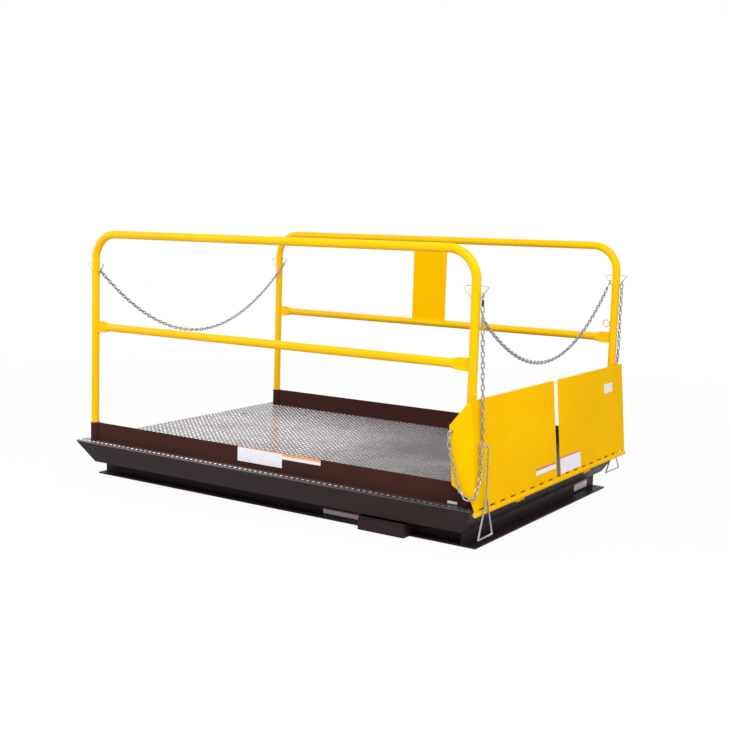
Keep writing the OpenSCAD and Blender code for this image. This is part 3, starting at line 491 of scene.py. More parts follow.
class Finish(Nodes):
    """A material's node graph, on object coordinates."""

    def __init__(self, name, colour, roughness, metal=0.0, coat=0.0, gloss=0.5):
        material = FINISHES[name] = bpy.data.materials.new(name)
        material.use_nodes = True
        super().__init__(material.node_tree)
        self.shader = self.tree.nodes["Principled BSDF"].inputs
        self.colour = opaque(colour)
        for label, value in (("Base Color", self.colour), ("Roughness", roughness), ("Metallic", metal),
                             ("Specular IOR Level", gloss), ("Coat Weight", coat), ("Coat Roughness", 0.12)):
            self.shader[label].default_value = value
        self.where = self.node("ShaderNodeTexCoord").outputs["Object"]
        self.bump = None

    def noise(self, scale, detail=2.0, rough=0.5, stretch=None):
        """A noise pattern, finer with a larger scale."""
        where = self.where
        if stretch:
            where = self.node("ShaderNodeMapping", Vector=where, Scale=stretch)
        return self.node("ShaderNodeTexNoise", Vector=where, Scale=scale, Detail=detail, Roughness=rough)

    def map(self, value, low, high, to_low, to_high):
        """A value brought from one range to another."""
        return self.node("ShaderNodeMapRange", Value=value, From_Min=low, From_Max=high, To_Min=to_low,
                         To_Max=to_high)

    def along(self, low, high, to_low, to_high):
        """A value that changes with x."""
        return self.map(self.node("ShaderNodeSeparateXYZ", i0=self.where), low, high, to_low, to_high)

    def near(self, centre, radius, amount):
        """How near a place is to a centre, from the amount down to nothing."""
        n = self.node("ShaderNodeVectorMath", {"operation": "DISTANCE"}, i0=self.where, i1=centre)
        return self.map(n.outputs["Value"], radius * 0.3, radius, amount, 0.0)

    def tint(self, factor, colour):
        """Mixes the base colour by a factor towards another, or towards itself times a number."""
        if isinstance(colour, float):
            colour = opaque(self.colour, colour)
        base = self.shader["Base Color"]
        before = base.links[0].from_socket if base.is_linked else self.colour
        mix = self.node("ShaderNodeMix", {"data_type": "RGBA"}, i0=factor, i6=before, i7=opaque(colour))
        self.link(mix.outputs[2], base)

    def cloud(self, noise, low, high, amount, colour):
        """Tints where a noise lies between two levels, up to an amount."""
        self.tint(self.map(self.noise(*noise), low, high, 0.0, amount), colour)

    def rough(self, noise, low, high, start=0.3, end=0.7):
        """Varies the roughness from low to high with a noise."""
        self.link(self.map(self.noise(*noise), start, end, low, high), self.shader["Roughness"])

    def relief(self, noise, distance, strength):
        """Adds a bump on top of the one before."""
        before = {} if self.bump is None else {"Normal": self.bump}
        self.bump = self.node("ShaderNodeBump", Strength=strength, Distance=distance,
                              Height=self.noise(*noise), **before)
        self.link(self.bump, self.shader["Normal"])


def paint(name, colour, roughness, gloss, dust, dust_colour):
    """Sprayed paint with faint clouds, dust and orange peel."""
    f = Finish(name, colour, roughness, gloss=gloss)
    f.cloud((2.3, 3.0), 0.35, 0.7, 1.0, 0.9)
    f.cloud((7.0, 6.0, 0.65), 0.52, 0.8, dust, dust_colour)
    f.rough((11.0, 4.0), roughness * 0.8, min(1.0, roughness * 1.5), 0.3, 0.75)
    f.relief((260.0,), 0.00006, 0.6)
    f.relief((9.0,), 0.0004, 0.35)


def make_finishes(colours):
    """Makes every material; a cloud's noise is its scale, detail, roughness and stretch."""
    paint("yellow_paint", colours.yellow, 0.3, 0.004, 0.1, 0.7)
    paint("rail_paint", colours.yellow, 0.26, 0.09, 0.1, 0.7)
    paint("brown_paint", colours.brown, 0.3, 0.022, 0.1, (0.07, 0.034, 0.028))
    paint("frame_paint", colours.frame, 0.3, 0.038, 0.2, (0.042, 0.03, 0.03))
    paint("cylinder_paint", colours.cylinder, 0.4, 0.3, 0.2, (0.12, 0.1, 0.09))

    # Deck and its lugs: duller towards the bridge, with painted shade darkening them towards the bridge leaves,
    # and darker at one patch
    patch = (0.36, 0.14, DECK_Z), 0.4, 0.8
    f = Finish("deck_paint", colours.deck, 0.32, metal=0.15, coat=0.5)
    f.link(f.along(-0.9, 0.9, 0.55, 0.03), f.shader["Coat Weight"])
    f.cloud((1.7, 4.0, 0.6), 0.4, 0.66, 1.0, 0.72)
    # Painted shade: the deck darkens towards the bridge end, where the stowed leaves shade it
    f.tint(f.along(-0.2, 0.9, 0.0, 0.9), 0.3)
    f.tint(f.near(*patch), 0.2)
    f.cloud((26.0, 6.0, 0.7, (1.0, 2.2, 1.0)), 0.56, 0.74, 0.5, 1.5)
    f.rough((6.0, 5.0, 0.6), 0.24, 0.46)
    f.relief((320.0,), 0.00006, 0.6)

    f = Finish("tread_lugs", colours.lugs, 0.28, metal=0.75, coat=0.2)
    f.link(f.along(-0.9, 0.9, 0.25, 0.0), f.shader["Coat Weight"])
    f.cloud((3.1, 4.0, 0.6), 0.42, 0.7, 0.8, 0.62)
    # Painted shade: the lugs darken towards the bridge end, where the stowed leaves shade them
    f.tint(f.along(-0.2, 0.9, 0.0, 0.9), 0.25)
    f.tint(f.near(*patch), 0.1)
    f.cloud((160.0, 3.0), 0.55, 0.75, 0.5, opaque(colours.deck, 0.8))
    f.rough((60.0, 3.0), 0.2, 0.42)

    for name, colour in (("zinc_steel", colours.zinc), ("chain_steel", colours.chain),
                         ("handle_steel", colours.handle)):
        f = Finish(name, colour, 0.3, metal=1.0)
        f.cloud((45.0, 3.0), 0.45, 0.7, 0.7, 0.6)
        f.cloud((18.0,), 0.5, 0.75, 0.3, (0.45, 0.4, 0.2))
        f.rough((90.0, 4.0), 0.24, 0.5)
        f.relief((700.0,), 0.00004, 0.5)

    f = Finish("bare_steel", colours.steel, 0.32, metal=1.0)
    f.cloud((12.0, 5.0, 0.6), 0.5, 0.75, 0.6, (0.22, 0.17, 0.13))
    f.rough((400.0, 2.0, 0.5, (1.0, 0.06, 1.0)), 0.24, 0.5)
    f.relief((900.0, 2.0, 0.5, (1.0, 0.05, 1.0)), 0.00003, 0.5)

    f = Finish("black_snap", (0.02, 0.02, 0.021), 0.42)
    f.cloud((90.0, 3.0), 0.5, 0.75, 0.6, (0.06, 0.055, 0.05))
    f.relief((500.0,), 0.00005, 0.5)

    for name, colour in (("plate_white", (0.72, 0.72, 0.78)), ("plate_orange", (0.85, 0.29, 0.09)),
                         ("plate_red", (0.62, 0.07, 0.06))):
        f = Finish(name, colour, 0.34, coat=0.2)
        f.cloud((30.0, 4.0), 0.45, 0.75, 0.5, 0.86)
        f.rough((50.0, 3.0), 0.26, 0.42)
        f.relief((120.0,), 0.00008, 0.4)


def finish_of(name):
    """The named material; the first call makes them all."""
    if not FINISHES:
        make_finishes(bpy.context.scene.lift_colours)
    return FINISHES[name]


# ---- settings ----


def colour_of(label, about, default):
    """A setting for a base colour."""
    return bpy.props.FloatVectorProperty(name=label, description=about, subtype="COLOR", default=default,
                                         min=0, max=1)


def size_of(label, about, default, low, high):
    """A setting for a length in metres."""
    return bpy.props.FloatProperty(name=label, description=about, unit="LENGTH", default=default,
                                   min=low, max=high)


class LiftColours(bpy.types.PropertyGroup):
    """Base colours of the paints and metals."""

    yellow: colour_of("Yellow", "Rails and bridge leaves", (0.865, 0.475, 0.0))
    brown: colour_of("Brown", "Kick plates and rail sockets", (0.048, 0.0185, 0.0145))
    frame: colour_of("Frame", "Guards, base and legs", (0.032, 0.0198, 0.0205))
    # Deck: brown paint greyed and lightened, partly painted reflection of the white surround
    deck: colour_of("Deck", "Deck plate between the lugs", (0.13, 0.105, 0.112))
    lugs: colour_of("Lugs", "Worn tops of the tread lugs", (0.42, 0.4, 0.42))
    zinc: colour_of("Zinc", "Hooks and parking ring", (0.68, 0.55, 0.24))
    chain: colour_of("Chain", "Chain links and their rings", (0.43, 0.42, 0.4))
    handle: colour_of("Handle", "Pull handles", (0.42, 0.42, 0.44))
    steel: colour_of("Steel", "Pins, rollers and rods", (0.5, 0.5, 0.52))
    cylinder: colour_of("Cylinder", "Cylinder barrels", (0.045, 0.045, 0.05))


class LiftSizes(bpy.types.PropertyGroup):
    """Sizes of what the scene adds to the frame."""

    lug_pitch: size_of("Lug pitch", "Step of the tread's pattern", 0.0321, 0.02, 0.06)
    lug_length: size_of("Lug length", "Length of a tread lug", 0.0245, 0.01, 0.05)
    lug_height: size_of("Lug height", "Height of a tread lug", 0.0018, 0.001, 0.004)
    link_pitch: size_of("Link pitch", "Inner length of a chain link", 0.024, 0.015, 0.04)
    link_wire: size_of("Link wire", "Wire of the chain links", 0.0058, 0.003, 0.008)
    link_width: size_of("Link width", "Outer width of a chain link", 0.0195, 0.012, 0.03)
    bead: size_of("Weld bead", "Radius of the weld beads", 0.003, 0.001, 0.006)
    plate: size_of("Plate", "Thickness of the bare plates", 0.0006, 0.0002, 0.002)


class LiftStage(bpy.types.PropertyGroup):
    """Camera and light."""

    lens: bpy.props.FloatProperty(name="Lens", description="Focal length on a 36 mm sensor", unit="CAMERA",
                                  default=57.33)
    world: bpy.props.FloatProperty(name="Surround", description="Light from all round", default=0.66,
                                   min=0, max=2)
    key: bpy.props.FloatProperty(name="Key", description="Power of the large lamp", unit="POWER",
                                 default=330.0)
    fill: bpy.props.FloatProperty(name="Fill", description="Power of the side lamp", unit="POWER",
                                  default=120.0)


# ---- operators ----


class LIFT_OT_camera(bpy.types.Operator):
    """Put the camera where the photograph was taken"""

    bl_idname = "lift.camera"
    bl_label = "Camera"

    def execute(self, context):
        data = bpy.data.cameras.new("view")
        data.sensor_width = 36.0
        data.lens = context.scene.lift_stage.lens
        data.shift_x, data.shift_y = CAMERA_SHIFT
        data.clip_end = 200.0
        data.dof.use_dof = False
        camera = add_object("view", data)
        yaw, pitch, roll = (math.radians(a) for a in CAMERA_TURN)
        camera.matrix_world = (Matrix.Translation(CAMERA_PLACE) @ Matrix.Rotation(yaw, 4, "Z")
                               @ Matrix.Rotation(math.pi / 2 + pitch, 4, "X") @ Matrix.Rotation(roll, 4, "Z"))
        context.scene.camera = camera
        return {"FINISHED"}


class LIFT_OT_finishes(bpy.types.Operator):
    """Give every node of the frame its finish"""

    bl_idname = "lift.finishes"
    bl_label = "Finishes"

    def execute(self, context):
        slots = {s["node"]: s["material_slot"] for s in frame["record"]["subparts"]}
        for name, node in NODES.items():
            node.data.materials.clear()
            node.data.materials.append(finish_of(OWN_FINISH.get(name, slots[name])))
        return {"FINISHED"}


class LIFT_OT_tread(bpy.types.Operator):
    """Raise the tread lugs on the deck and on the bridge leaves"""

    bl_idname = "lift.tread"
    bl_label = "Tread"

    def execute(self, context):
        sizes = context.scene.lift_sizes
        tree = lug_tree()

        def lugs(name, long, wide, finish, body, slot, **values):
            """Fills a rectangle with lugs."""
            half = sizes.lug_pitch / 2
            count_x, count_y = int(long / half), int(wide / sizes.lug_pitch)
            mesh = tree.apply(name, [[(0, 0, 0), (0, 0, 0.001)]], Length=half * (count_x - 1),
                              Width=sizes.lug_pitch * (count_y - 1), Count_X=count_x, Count_Y=count_y,
                              Lug_length=sizes.lug_length, Lug_height=sizes.lug_height,
                              Material=finish_of(finish), **values)
            new_piece(name, mesh, body)

        long, wide = DECK_HIGH[0] - DECK_LOW[0], DECK_HIGH[1] - DECK_LOW[1]
        lugs("deck_tread", long, wide, "tread_lugs", "platform", "deck_paint", Band_Y=RAIL_Y,
             Band_half=LUG_BAND, Hole_X=long / 2 - HOLE_END, Hole_Y=HOLE_Y, Hole_radius=LUG_HOLE,
             Place=(0.0, 0.0, DECK_Z))

        foot, tip, inner, outer = LEAF_MARGINS
        for side, name in ((-1, "near"), (1, "far")):
            low, high = sorted(abs(corner[1]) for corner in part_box("bridge_leaf_" + name))
            long, wide = LEAF_L - foot - tip, high - low - inner - outer
            x, z = on_leaf(foot + long / 2, LEAF_HALF)
            lugs("leaf_tread_" + name, long, wide, "yellow_paint", "bridge_" + name, "yellow_paint",
                 Place=(x, side * (low + inner + wide / 2), z), Turn=(0.0, -math.pi / 2 - TILT, 0.0))
        return {"FINISHED"}


def hang_snap(name, hook, down, start, end, radius):
    """A black snap below a hook, on a thin wire from the hook's ring."""
    bm = bmesh.new()
    profile = ((0.0, 0.4), (0.12, 0.9), (0.35, 1.0), (0.65, 1.0), (0.88, 0.85), (1.0, 0.4))
    path = [hook + down * (start + (end - start) * at) for at, _ in profile]
    add_tube(bm, path, [radius * share for _, share in profile])
    new_piece(name, mesh_of(bm, name), "platform", "black_snap")

    bm = bmesh.new()
    side = Vector((0.003, 0, 0))
    low, mid = hook + down * (start + 0.002), hook + down * (HOOK_RING + 0.006)
    loop = [low, mid + side, hook + down * (HOOK_RING - 0.001), mid - side, low]
    add_tube(bm, smooth_route(loop, 4), SNAP_WIRE, 6)
    name += "_wire"
    new_piece(name, mesh_of(bm, name), "platform", "chain_steel")


class LIFT_OT_chains(bpy.types.Operator):
    """Lay real links along the safety chains and the lifting chains"""

    bl_idname = "lift.chains"
    bl_label = "Chains"

    def execute(self, context):
        sizes = context.scene.lift_sizes
        tree = link_tree()

        def lay(name, node, route, rings, body="platform", trim=0.0, side=(0.0, 1.0, 0.0), twist=math.pi / 4):
            """Puts links on a route, trimmed at its far end, and rings in place of a bare chain."""
            half = sizes.link_pitch / 2
            mesh = tree.apply(name, [inset(route, half, half + trim)], Pitch=sizes.link_pitch, Side=side,
                              Twist=twist, Wire=sizes.link_wire, Width=sizes.link_width,
                              Material=finish_of("chain_steel"))
            bm = bmesh.new()
            bm.from_mesh(mesh)
            for ring in rings:
                add_ring(bm, *ring)
            return new_piece(name, mesh_of(bm, name), body, "chain_steel", [node])

        def hook_ring(x, y):
            """A ring in a hook."""
            return (x, y, HOOK_Z), (1, 0, 0), HOOK_RING, RING_WIRE

        # Across the open end
        x = POST_OPEN + HOOK_SEAT
        slope = math.atan(2 * OPEN_SAG / RAIL_Y)
        y, z = RAIL_Y - HOOK_RING * math.cos(slope), HOOK_Z - HOOK_RING * math.sin(slope)
        lay("open_end_links", "open_end_chain", sagging((x, -y, z), (x, y, z), OPEN_SAG),
            [hook_ring(x, -RAIL_Y), hook_ring(x, RAIL_Y)], **ACROSS)

        # Across the bridge end, from the near lifting chain to a snap on the far hook
        share = BRIDGE_START / NEAR_DROP
        x = POST_BRIDGE + HOOK_SEAT + (NEAR_OUT - HOOK_SEAT) * share
        start = (x, -RAIL_Y + 0.006, HOOK_Z - BRIDGE_START)
        slope = math.atan((2 * BRIDGE_SAG + BRIDGE_START / 2) / RAIL_Y)
        hung = Vector((POST_BRIDGE - HOOK_SEAT, RAIL_Y, HOOK_Z))
        down = Vector((0, -math.cos(slope), -math.sin(slope)))
        hang_snap("bridge_end_snap", hung, down, 0.046, 0.066, 0.005)
        lay("bridge_end_links", "bridge_end_chain", sagging(start, hung + down * HOOK_RING, BRIDGE_SAG),
            [hook_ring(hung.x, RAIL_Y)], trim=0.056, **ACROSS)

        # Near lifting chain, from its snap to its ring
        x = POST_BRIDGE + HOOK_SEAT
        hook = Vector((x, -RAIL_Y, HOOK_Z))
        hang_snap("lift_snap_near", hook, -UP, 0.018, 0.050, 0.0065)
        lay("lift_links_near", "lift_chain_near", [hook - 0.050 * UP, NEAR_RING + RING_R * UP],
            [hook_ring(x, -RAIL_Y)])

        # Rings in the wings, at the ends of the slack loops
        ring_in = (WING_HOLE_EDGE + RING_WIRE + RING_PLAY) / 2
        ring_r = math.hypot(WING_HOLE_EDGE - ring_in, WING_HALF) + RING_WIRE + RING_PLAY
        wx, wz = on_leaf(WING_HOLE_L, LEAF_HALF + WING_H - WING_HOLE_EDGE + ring_in)
        ring_axis = (-math.sin(TILT), 0, math.cos(TILT))

        # Near slack loop
        hx, hz = HINGE_X, HINGE_Z
        y = -LEAF_Y - 0.007
        start, end = NEAR_RING + RING_R * SLANT, Vector((wx, y - 0.001, wz))
        near = [start, start - Vector((0, 0.008, 0.008)),
                (NEAR_RING.x + 0.004, -RAIL_Y - 0.022, NEAR_RING.z - 0.040),
                (hx, -RAIL_Y - 0.029, hz + 0.210), (hx + 0.004, -RAIL_Y - 0.045, hz + 0.150),
                (hx + 0.004, y - 0.006, hz + 0.094), (hx - 0.010, y - 0.0072, hz + 0.072),
                (hx - 0.036, y - 0.0072, hz + 0.070), (hx - 0.064, y - 0.0072, hz + 0.092),
                (hx - 0.092, y - 0.0072, hz + 0.152), (hx - 0.118, y - 0.0072, hz + 0.240),
                (hx - 0.134, y - 0.006, hz + 0.308), end - 0.02 * UP, end]
        ring = (wx, -(LEAF_Y - WING_HALF), wz), ring_axis, ring_r, RING_WIRE
        loop = lay("slack_links_near", "lift_chain_near", smooth_route(near), [ring], body=None)
        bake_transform(loop)

        # Far lifting chain, down the post and out over the deck's side to its ring
        y = LEAF_Y + 0.007
        top = Vector((x, RAIL_Y, HOOK_Z - HOOK_RING))
        px, rx, rz = POST_BRIDGE, FAR_RING.x, FAR_RING.z
        upper = [top - down * UP for down in (0, 0.12, 0.24, 0.34)]
        upper += [(px + 0.032, RAIL_Y + 0.003, rz + 0.261), (px + 0.023, RAIL_Y + 0.023, rz + 0.217),
                  (px + 0.003, RAIL_Y + 0.046, rz + 0.189), (px - 0.006, LEAF_Y - 0.002, rz + 0.170),
                  (px - 0.006, y + 0.016, rz + 0.147), (rx, FAR_RING.y - 0.006, rz + 0.101),
                  FAR_RING + (RING_R + 0.02) * UP, FAR_RING + RING_R * UP]
        lay("lift_links_far", "lift_chain_far", smooth_route(upper), [hook_ring(x, RAIL_Y)])

        # Far slack loop
        start, end = FAR_RING + RING_R * SLANT, Vector((wx, y + 0.001, wz))
        far = [start, start - Vector((0, 0.008, 0.008)), (rx - 0.002, y + 0.021, rz - 0.044),
               (rx - 0.006, y + 0.016, hz + 0.200), (rx - 0.014, y + 0.012, hz + 0.130),
               (rx - 0.028, y + 0.012, hz + 0.102), (rx - 0.042, y + 0.012, hz + 0.124),
               (rx - 0.054, y + 0.012, hz + 0.200), (wx - 0.002, y + 0.006, hz + 0.290),
               end - 0.02 * UP, end]
        ring = (wx, LEAF_Y - WING_HALF, wz), ring_axis, ring_r, RING_WIRE
        loop = lay("slack_links_far", "lift_chain_far", smooth_route(far), [ring], body=None)
        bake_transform(loop)
        return {"FINISHED"}


class LIFT_OT_handle(bpy.types.Operator):
    """Hang a merged copy of the near pull handle on the platform, in place of the handle's node"""

    bl_idname = "lift.handle"
    bl_label = "Near pull handle"

    def execute(self, context):
        node, name = "pull_handle_near", "pull_handle_swinging"
        bm = bmesh.new()
        bm.from_mesh(NODES[node].data)
        bmesh.ops.remove_doubles(bm, verts=bm.verts, dist=1e-5)
        piece = new_piece(name, mesh_of(bm, name), "platform", "handle_steel", [node])
        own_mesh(piece)
        return {"FINISHED"}


class LIFT_OT_plates(bpy.types.Operator):
    """Stick the bare plates and strips on"""

    bl_idname = "lift.plates"
    bl_label = "Bare plates"

    def execute(self, context):
        thick = context.scene.lift_sizes.plate

        def stick(name, finish, low, high, axis, body, turn=Matrix()):
            """A plate between two corners, turned into place."""
            bm = bmesh.new()
            add_plate(bm, low, high, PLATE_CORNER, axis)
            bmesh.ops.transform(bm, verts=bm.verts, matrix=turn)
            new_piece(name, mesh_of(bm, name, False), body, "plate_" + finish)

        # On the near side, each between two x and two z
        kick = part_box("kick_plate_near")[0][1], "platform", "brown_paint"
        base = BASE_FACE, "base", "frame_paint"
        for name, finish, x0, x1, z0, z1, (y, body, slot) in (
                ("kick_plate_white", "white", -0.127, 0.151, 0.231, 0.301, kick),
                ("kick_plate_band", "orange", -0.127, 0.151, 0.301, 0.3045, kick),
                ("kick_strip_white", "white", 0.151, 0.381, 0.276, 0.291, kick),
                ("kick_strip_band", "orange", 0.151, 0.381, 0.291, 0.3045, kick),
                ("kick_mark", "white", 1.072, 1.121, 0.2065, 0.2185, kick),
                ("base_strip_white", "white", 0.323, 0.530, 0.010, 0.029, base),
                ("base_strip_band", "red", 0.323, 0.530, 0.029, 0.035, base)):
            stick(name, finish, (x0, y - thick, z0), (x1, y, z1), 1, body)

        # On the base's bridge end
        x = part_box("base_end_bridge")[0][0] + 0.008
        for name, finish, z0, z1 in (("end_web_white", "white", 0.018, 0.050),
                                     ("end_web_band", "red", 0.050, 0.058)):
            stick(name, finish, (x, 0.513, z0), (x + thick, 0.692, z1), 0, "base")

        # On the leaves' outer faces, each between two y and two places along the leaf
        lean = Matrix.Translation((HINGE_X, 0, HINGE_Z)) @ Matrix.Rotation(-TILT, 4, "Y")
        for name, finish, y0, y1, low, high, side in (
                ("leaf_plate_near_white", "white", -0.277, -0.044, 0.066, 0.088, "near"),
                ("leaf_plate_near_band", "red", -0.277, -0.044, 0.088, 0.098, "near"),
                ("leaf_plate_far_white", "white", 0.018, 0.278, 0.026, 0.102, "far"),
                ("leaf_plate_far_band", "red", 0.018, 0.278, 0.102, 0.109, "far"),
                ("leaf_plate_small", "white", 0.640, 0.760, 0.362, 0.412, "far")):
            stick(name, finish, (LEAF_HALF, y0, low), (LEAF_HALF + thick, y1, high), 0, "bridge_" + side,
                  lean)
        return {"FINISHED"}


class LIFT_OT_welds(bpy.types.Operator):
    """Run weld beads along the joints of the rails, kick plates, guards and legs"""

    bl_idname = "lift.welds"
    bl_label = "Welds"

    def execute(self, context):
        size = context.scene.lift_sizes.bead
        tree = bead_tree()

        def bead(name, routes, body, slot, finish=None):
            """One piece of all the beads along some routes."""
            made = tree.apply(name, routes, Size=size, Material=finish_of(finish or slot))
            new_piece(name, made, body)

        def circle(centre, radius, up, count):
            """A closed round route in the plane of x and one other axis."""
            route = []
            for a in full_turn(count) + [2 * math.pi]:
                p = list(centre)
                p[0] += radius * math.cos(a)
                p[up] += radius * math.sin(a)
                route.append(p)
            return route

        # Sockets on the deck, and kick plates to the deck and the sockets
        socket_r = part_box("rail_sockets")[1][0] - POST_BRIDGE
        foot = DECK_Z + 0.001
        routes = []
        for s in (-1, 1):
            routes += [circle((x, s * RAIL_Y, foot), socket_r, 1, 40) for x, _ in POSTS]
            for e in (-1, 1):
                y = s * RAIL_Y + e * KICK_HALF
                routes.append([(x + inward * (socket_r + 0.003), y, foot) for x, inward in POSTS])
                for x, inward in POSTS:
                    x += inward * (socket_r - BEAD_OUT)
                    routes.append([(x, y, DECK_Z + 0.004), (x, y, DECK_Z + 0.099)])
        bead("socket_welds", routes, "platform", "brown_paint")

        # Middle rails to the posts, and the sheet to the far rails
        routes = []
        for s in (-1, 1):
            for x, inward in POSTS:
                x += inward * (math.sqrt(TUBE_R ** 2 - MID_FLAT ** 2) + BEAD_OUT)
                for y in (s * RAIL_Y - MID_FLAT, s * RAIL_Y + MID_FLAT):
                    routes.append([(x, y, MID_Z - MID_FLAT_H), (x, y, MID_Z + MID_FLAT_H)])
        low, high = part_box("rail_panel")
        routes += [[(low[0] + 0.004, y, z), (high[0] - 0.004, y, z)] for z in (low[2], high[2])
                   for y in (low[1], high[1])]
        bead("rail_welds", routes, "platform", "yellow_paint", "rail_paint")

        # Toe guards at their corners
        low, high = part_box("toe_guard_near")
        top = high[0] - 0.005, -low[1] - 0.005, high[2] - 0.004
        end = high[0] - GUARD_W - 0.001, -low[1] - GUARD_W - 0.001, low[2] + 0.003
        routes = [[(sx * x, sy * y, z) for x, y, z in (top, end)] for sx in (-1, 1) for sy in (-1, 1)]
        bead("guard_welds", routes, "platform", "frame_paint")

        # Cross tubes to the legs: places along a leg from its pivot, or from its other end if below zero
        for name, pivot, rise, places in (("outer", "lift", 1, (0.12, 0.3, -0.12)),
                                          ("inner", "deck_pivot", -1, (0.12, -0.3, -0.12))):
            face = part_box(name + "_leg_far")[0][1] - BEAD_OUT
            routes = []
            for along in places:
                along %= LEG_L
                x = JOINTS[pivot].x - along * math.cos(LEAN)
                z = JOINTS[pivot].z + rise * along * math.sin(LEAN)
                routes += [circle((x, s * face, z), CROSS_BEAD_R, 2, 32) for s in (-1, 1)]
            bead(name + "_leg_welds", routes, name + "_legs", "frame_paint")
        return {"FINISHED"}


class LIFT_OT_pins(bpy.types.Operator):
    """Fit keeper rings on the pins and axles, and glands and ports on the cylinders"""

    bl_idname = "lift.pins"
    bl_label = "Keeper rings and ports"

    def execute(self, context):
        def keepers(name, body, x, z, places):
            """Keeper rings on both sides of the lift."""
            bm = bmesh.new()
            for y in places:
                for s in (-1, 1):
                    add_ring(bm, (x, s * y, z), (0, 1, 0), KEEPER_R, KEEPER_WIRE, 24, 6)
            new_piece(name, mesh_of(bm, name), body, "bare_steel")

        for name, node, joint, body in (("base_pin_keepers", "base_pivot_pins", "lift", "base"),
                                        ("deck_pin_keepers", "deck_pivot_pins", "deck_pivot", "platform")):
            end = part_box(node)[1][1] - 0.002
            keepers(name, body, JOINTS[joint].x, JOINTS[joint].z, (end, end - KEEPER_SPAN))
        roller_x = middle("upper_rollers", 0)
        keepers("upper_axle_keepers", "outer_legs", roller_x, middle("upper_rollers", 2),
                [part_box("upper_rollers")[1][1] - KEEPER_WIRE])
        keepers("centre_pin_keepers", "outer_legs", JOINTS["leg_cross"].x, JOINTS["leg_cross"].z,
                [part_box("inner_leg_far")[0][1] - 0.0025])
        keepers("lower_axle_keepers", "inner_legs", roller_x, middle("lower_rollers", 2),
                [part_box("lower_rollers")[1][1] - KEEPER_WIRE])

        # Glands round a barrel's end and its rod, and two ports below
        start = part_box("cylinder_barrels")[0][0]
        z = JOINTS["barrel_pivot"].z
        bm = bmesh.new()
        for y in (-CYLINDER_Y, CYLINDER_Y):
            add_ring(bm, (start + 0.012, y, z), (1, 0, 0), 0.0375, 0.002, 40, 8)
            add_ring(bm, (start + 0.0015, y, z), (1, 0, 0), 0.0205, 0.0012, 32, 6)
            for x in (start + 0.06, start + 0.58):
                add_tube(bm, [(x, y, z - 0.036), (x, y, z - 0.046)], 0.009, 6)
        new_piece("cylinder_fittings", mesh_of(bm, "cylinder_fittings", False), "cylinder_barrels",
                  "bare_steel")
        return {"FINISHED"}


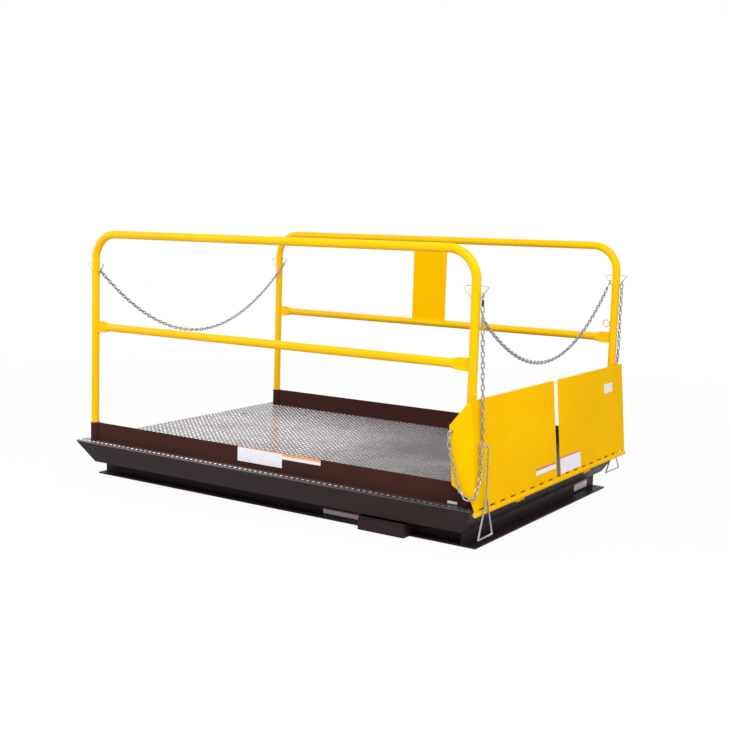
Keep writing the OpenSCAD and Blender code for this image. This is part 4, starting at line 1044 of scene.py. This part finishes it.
class LIFT_OT_stage(bpy.types.Operator):
    """Set the floor, the surround and the lamps"""

    bl_idname = "lift.stage"
    bl_label = "Stage"

    def execute(self, context):
        scene, stage = context.scene, context.scene.lift_stage
        scene.view_settings.view_transform = "Standard"

        # Pale cloth in the light, near white where it is seen, and white far away
        bm = bmesh.new()
        bmesh.ops.create_grid(bm, x_segments=1, y_segments=1, size=FLOOR_HALF)
        floor = add_object("floor", mesh_of(bm, "floor", False))
        material = bpy.data.materials.new("floor")
        material.use_nodes = True
        floor.data.materials.append(material)
        n = Nodes(material.node_tree)
        n.tree.nodes.clear()
        reach = n.node("ShaderNodeVectorMath", {"operation": "LENGTH"},
                       i0=n.node("ShaderNodeTexCoord").outputs["Object"])
        fade = n.node("ShaderNodeMapRange", Value=reach.outputs["Value"], **FLOOR_FADE)
        share = n.math("MULTIPLY", n.seen_by("Is Camera Ray", "Is Glossy Ray"), fade)
        cloth = n.node("ShaderNodeBsdfDiffuse", Color=(0.8, 0.8, 0.8, 1.0))
        glow = n.node("ShaderNodeEmission", Color=WHITE)
        mix = n.node("ShaderNodeMixShader", i0=share, i1=cloth, i2=glow)
        n.node("ShaderNodeOutputMaterial", Surface=mix)

        # Soft light from all round, seen as white
        world = bpy.data.worlds.new("surround")
        world.use_nodes = True
        scene.world = world
        n = Nodes(world.node_tree)
        n.tree.nodes.clear()
        around = n.node("ShaderNodeBackground", Color=WHITE, Strength=stage.world)
        shown = n.node("ShaderNodeBackground", Color=WHITE, Strength=1.0)
        seen = n.seen_by("Is Camera Ray", "Is Glossy Ray", "Is Transmission Ray")
        mix = n.node("ShaderNodeMixShader", i0=seen, i1=around, i2=shown)
        n.node("ShaderNodeOutputWorld", Surface=mix)

        for name, place, size, power in (("key_lamp", (3.2, -3.6, 5.2), 4.0, stage.key),
                                         ("side_lamp", (-4.5, -4.0, 3.6), 3.0, stage.fill)):
            lamp = bpy.data.lights.new(name, "AREA")
            lamp.shape = "DISK"
            lamp.size = size
            lamp.energy = power
            holder = add_object(name, lamp)
            aim = Vector((0, 0, 0.5)) - Vector(place)
            holder.matrix_world = Matrix.Translation(place) @ aim.to_track_quat("-Z", "Y").to_matrix().to_4x4()
        return {"FINISHED"}


class LIFT_PT_panel(bpy.types.Panel):
    """Lists the settings and the steps that dress the lift"""

    bl_label = "Dock lift"
    bl_idname = "LIFT_PT_panel"
    bl_space_type = "VIEW_3D"
    bl_region_type = "UI"
    bl_category = "Dock lift"

    def draw(self, context):
        for group in (context.scene.lift_sizes, context.scene.lift_colours, context.scene.lift_stage):
            box = self.layout.box()
            for key in group.__annotations__:
                box.prop(group, key)
        for step in STEPS:
            self.layout.operator(step.bl_idname)


STEPS = (LIFT_OT_camera, LIFT_OT_finishes, LIFT_OT_tread, LIFT_OT_chains, LIFT_OT_handle, LIFT_OT_plates,
         LIFT_OT_welds, LIFT_OT_pins, LIFT_OT_stage)
GROUPS = (("lift_colours", LiftColours), ("lift_sizes", LiftSizes), ("lift_stage", LiftStage))


def register():
    """Registers the settings, the steps and the panel."""
    for name, group in GROUPS:
        bpy.utils.register_class(group)
        setattr(bpy.types.Scene, name, bpy.props.PointerProperty(type=group))
    for step in STEPS:
        bpy.utils.register_class(step)
    bpy.utils.register_class(LIFT_PT_panel)


def unregister():
    """Takes them out again."""
    bpy.utils.unregister_class(LIFT_PT_panel)
    for step in reversed(STEPS):
        bpy.utils.unregister_class(step)
    for name, group in reversed(GROUPS):
        delattr(bpy.types.Scene, name)
        bpy.utils.unregister_class(group)


def main():
    """Dresses the lift step by step."""
    register()
    for step in STEPS:
        area, action = step.bl_idname.split(".")
        getattr(getattr(bpy.ops, area), action)()


if __name__ == "__main__":
    main()
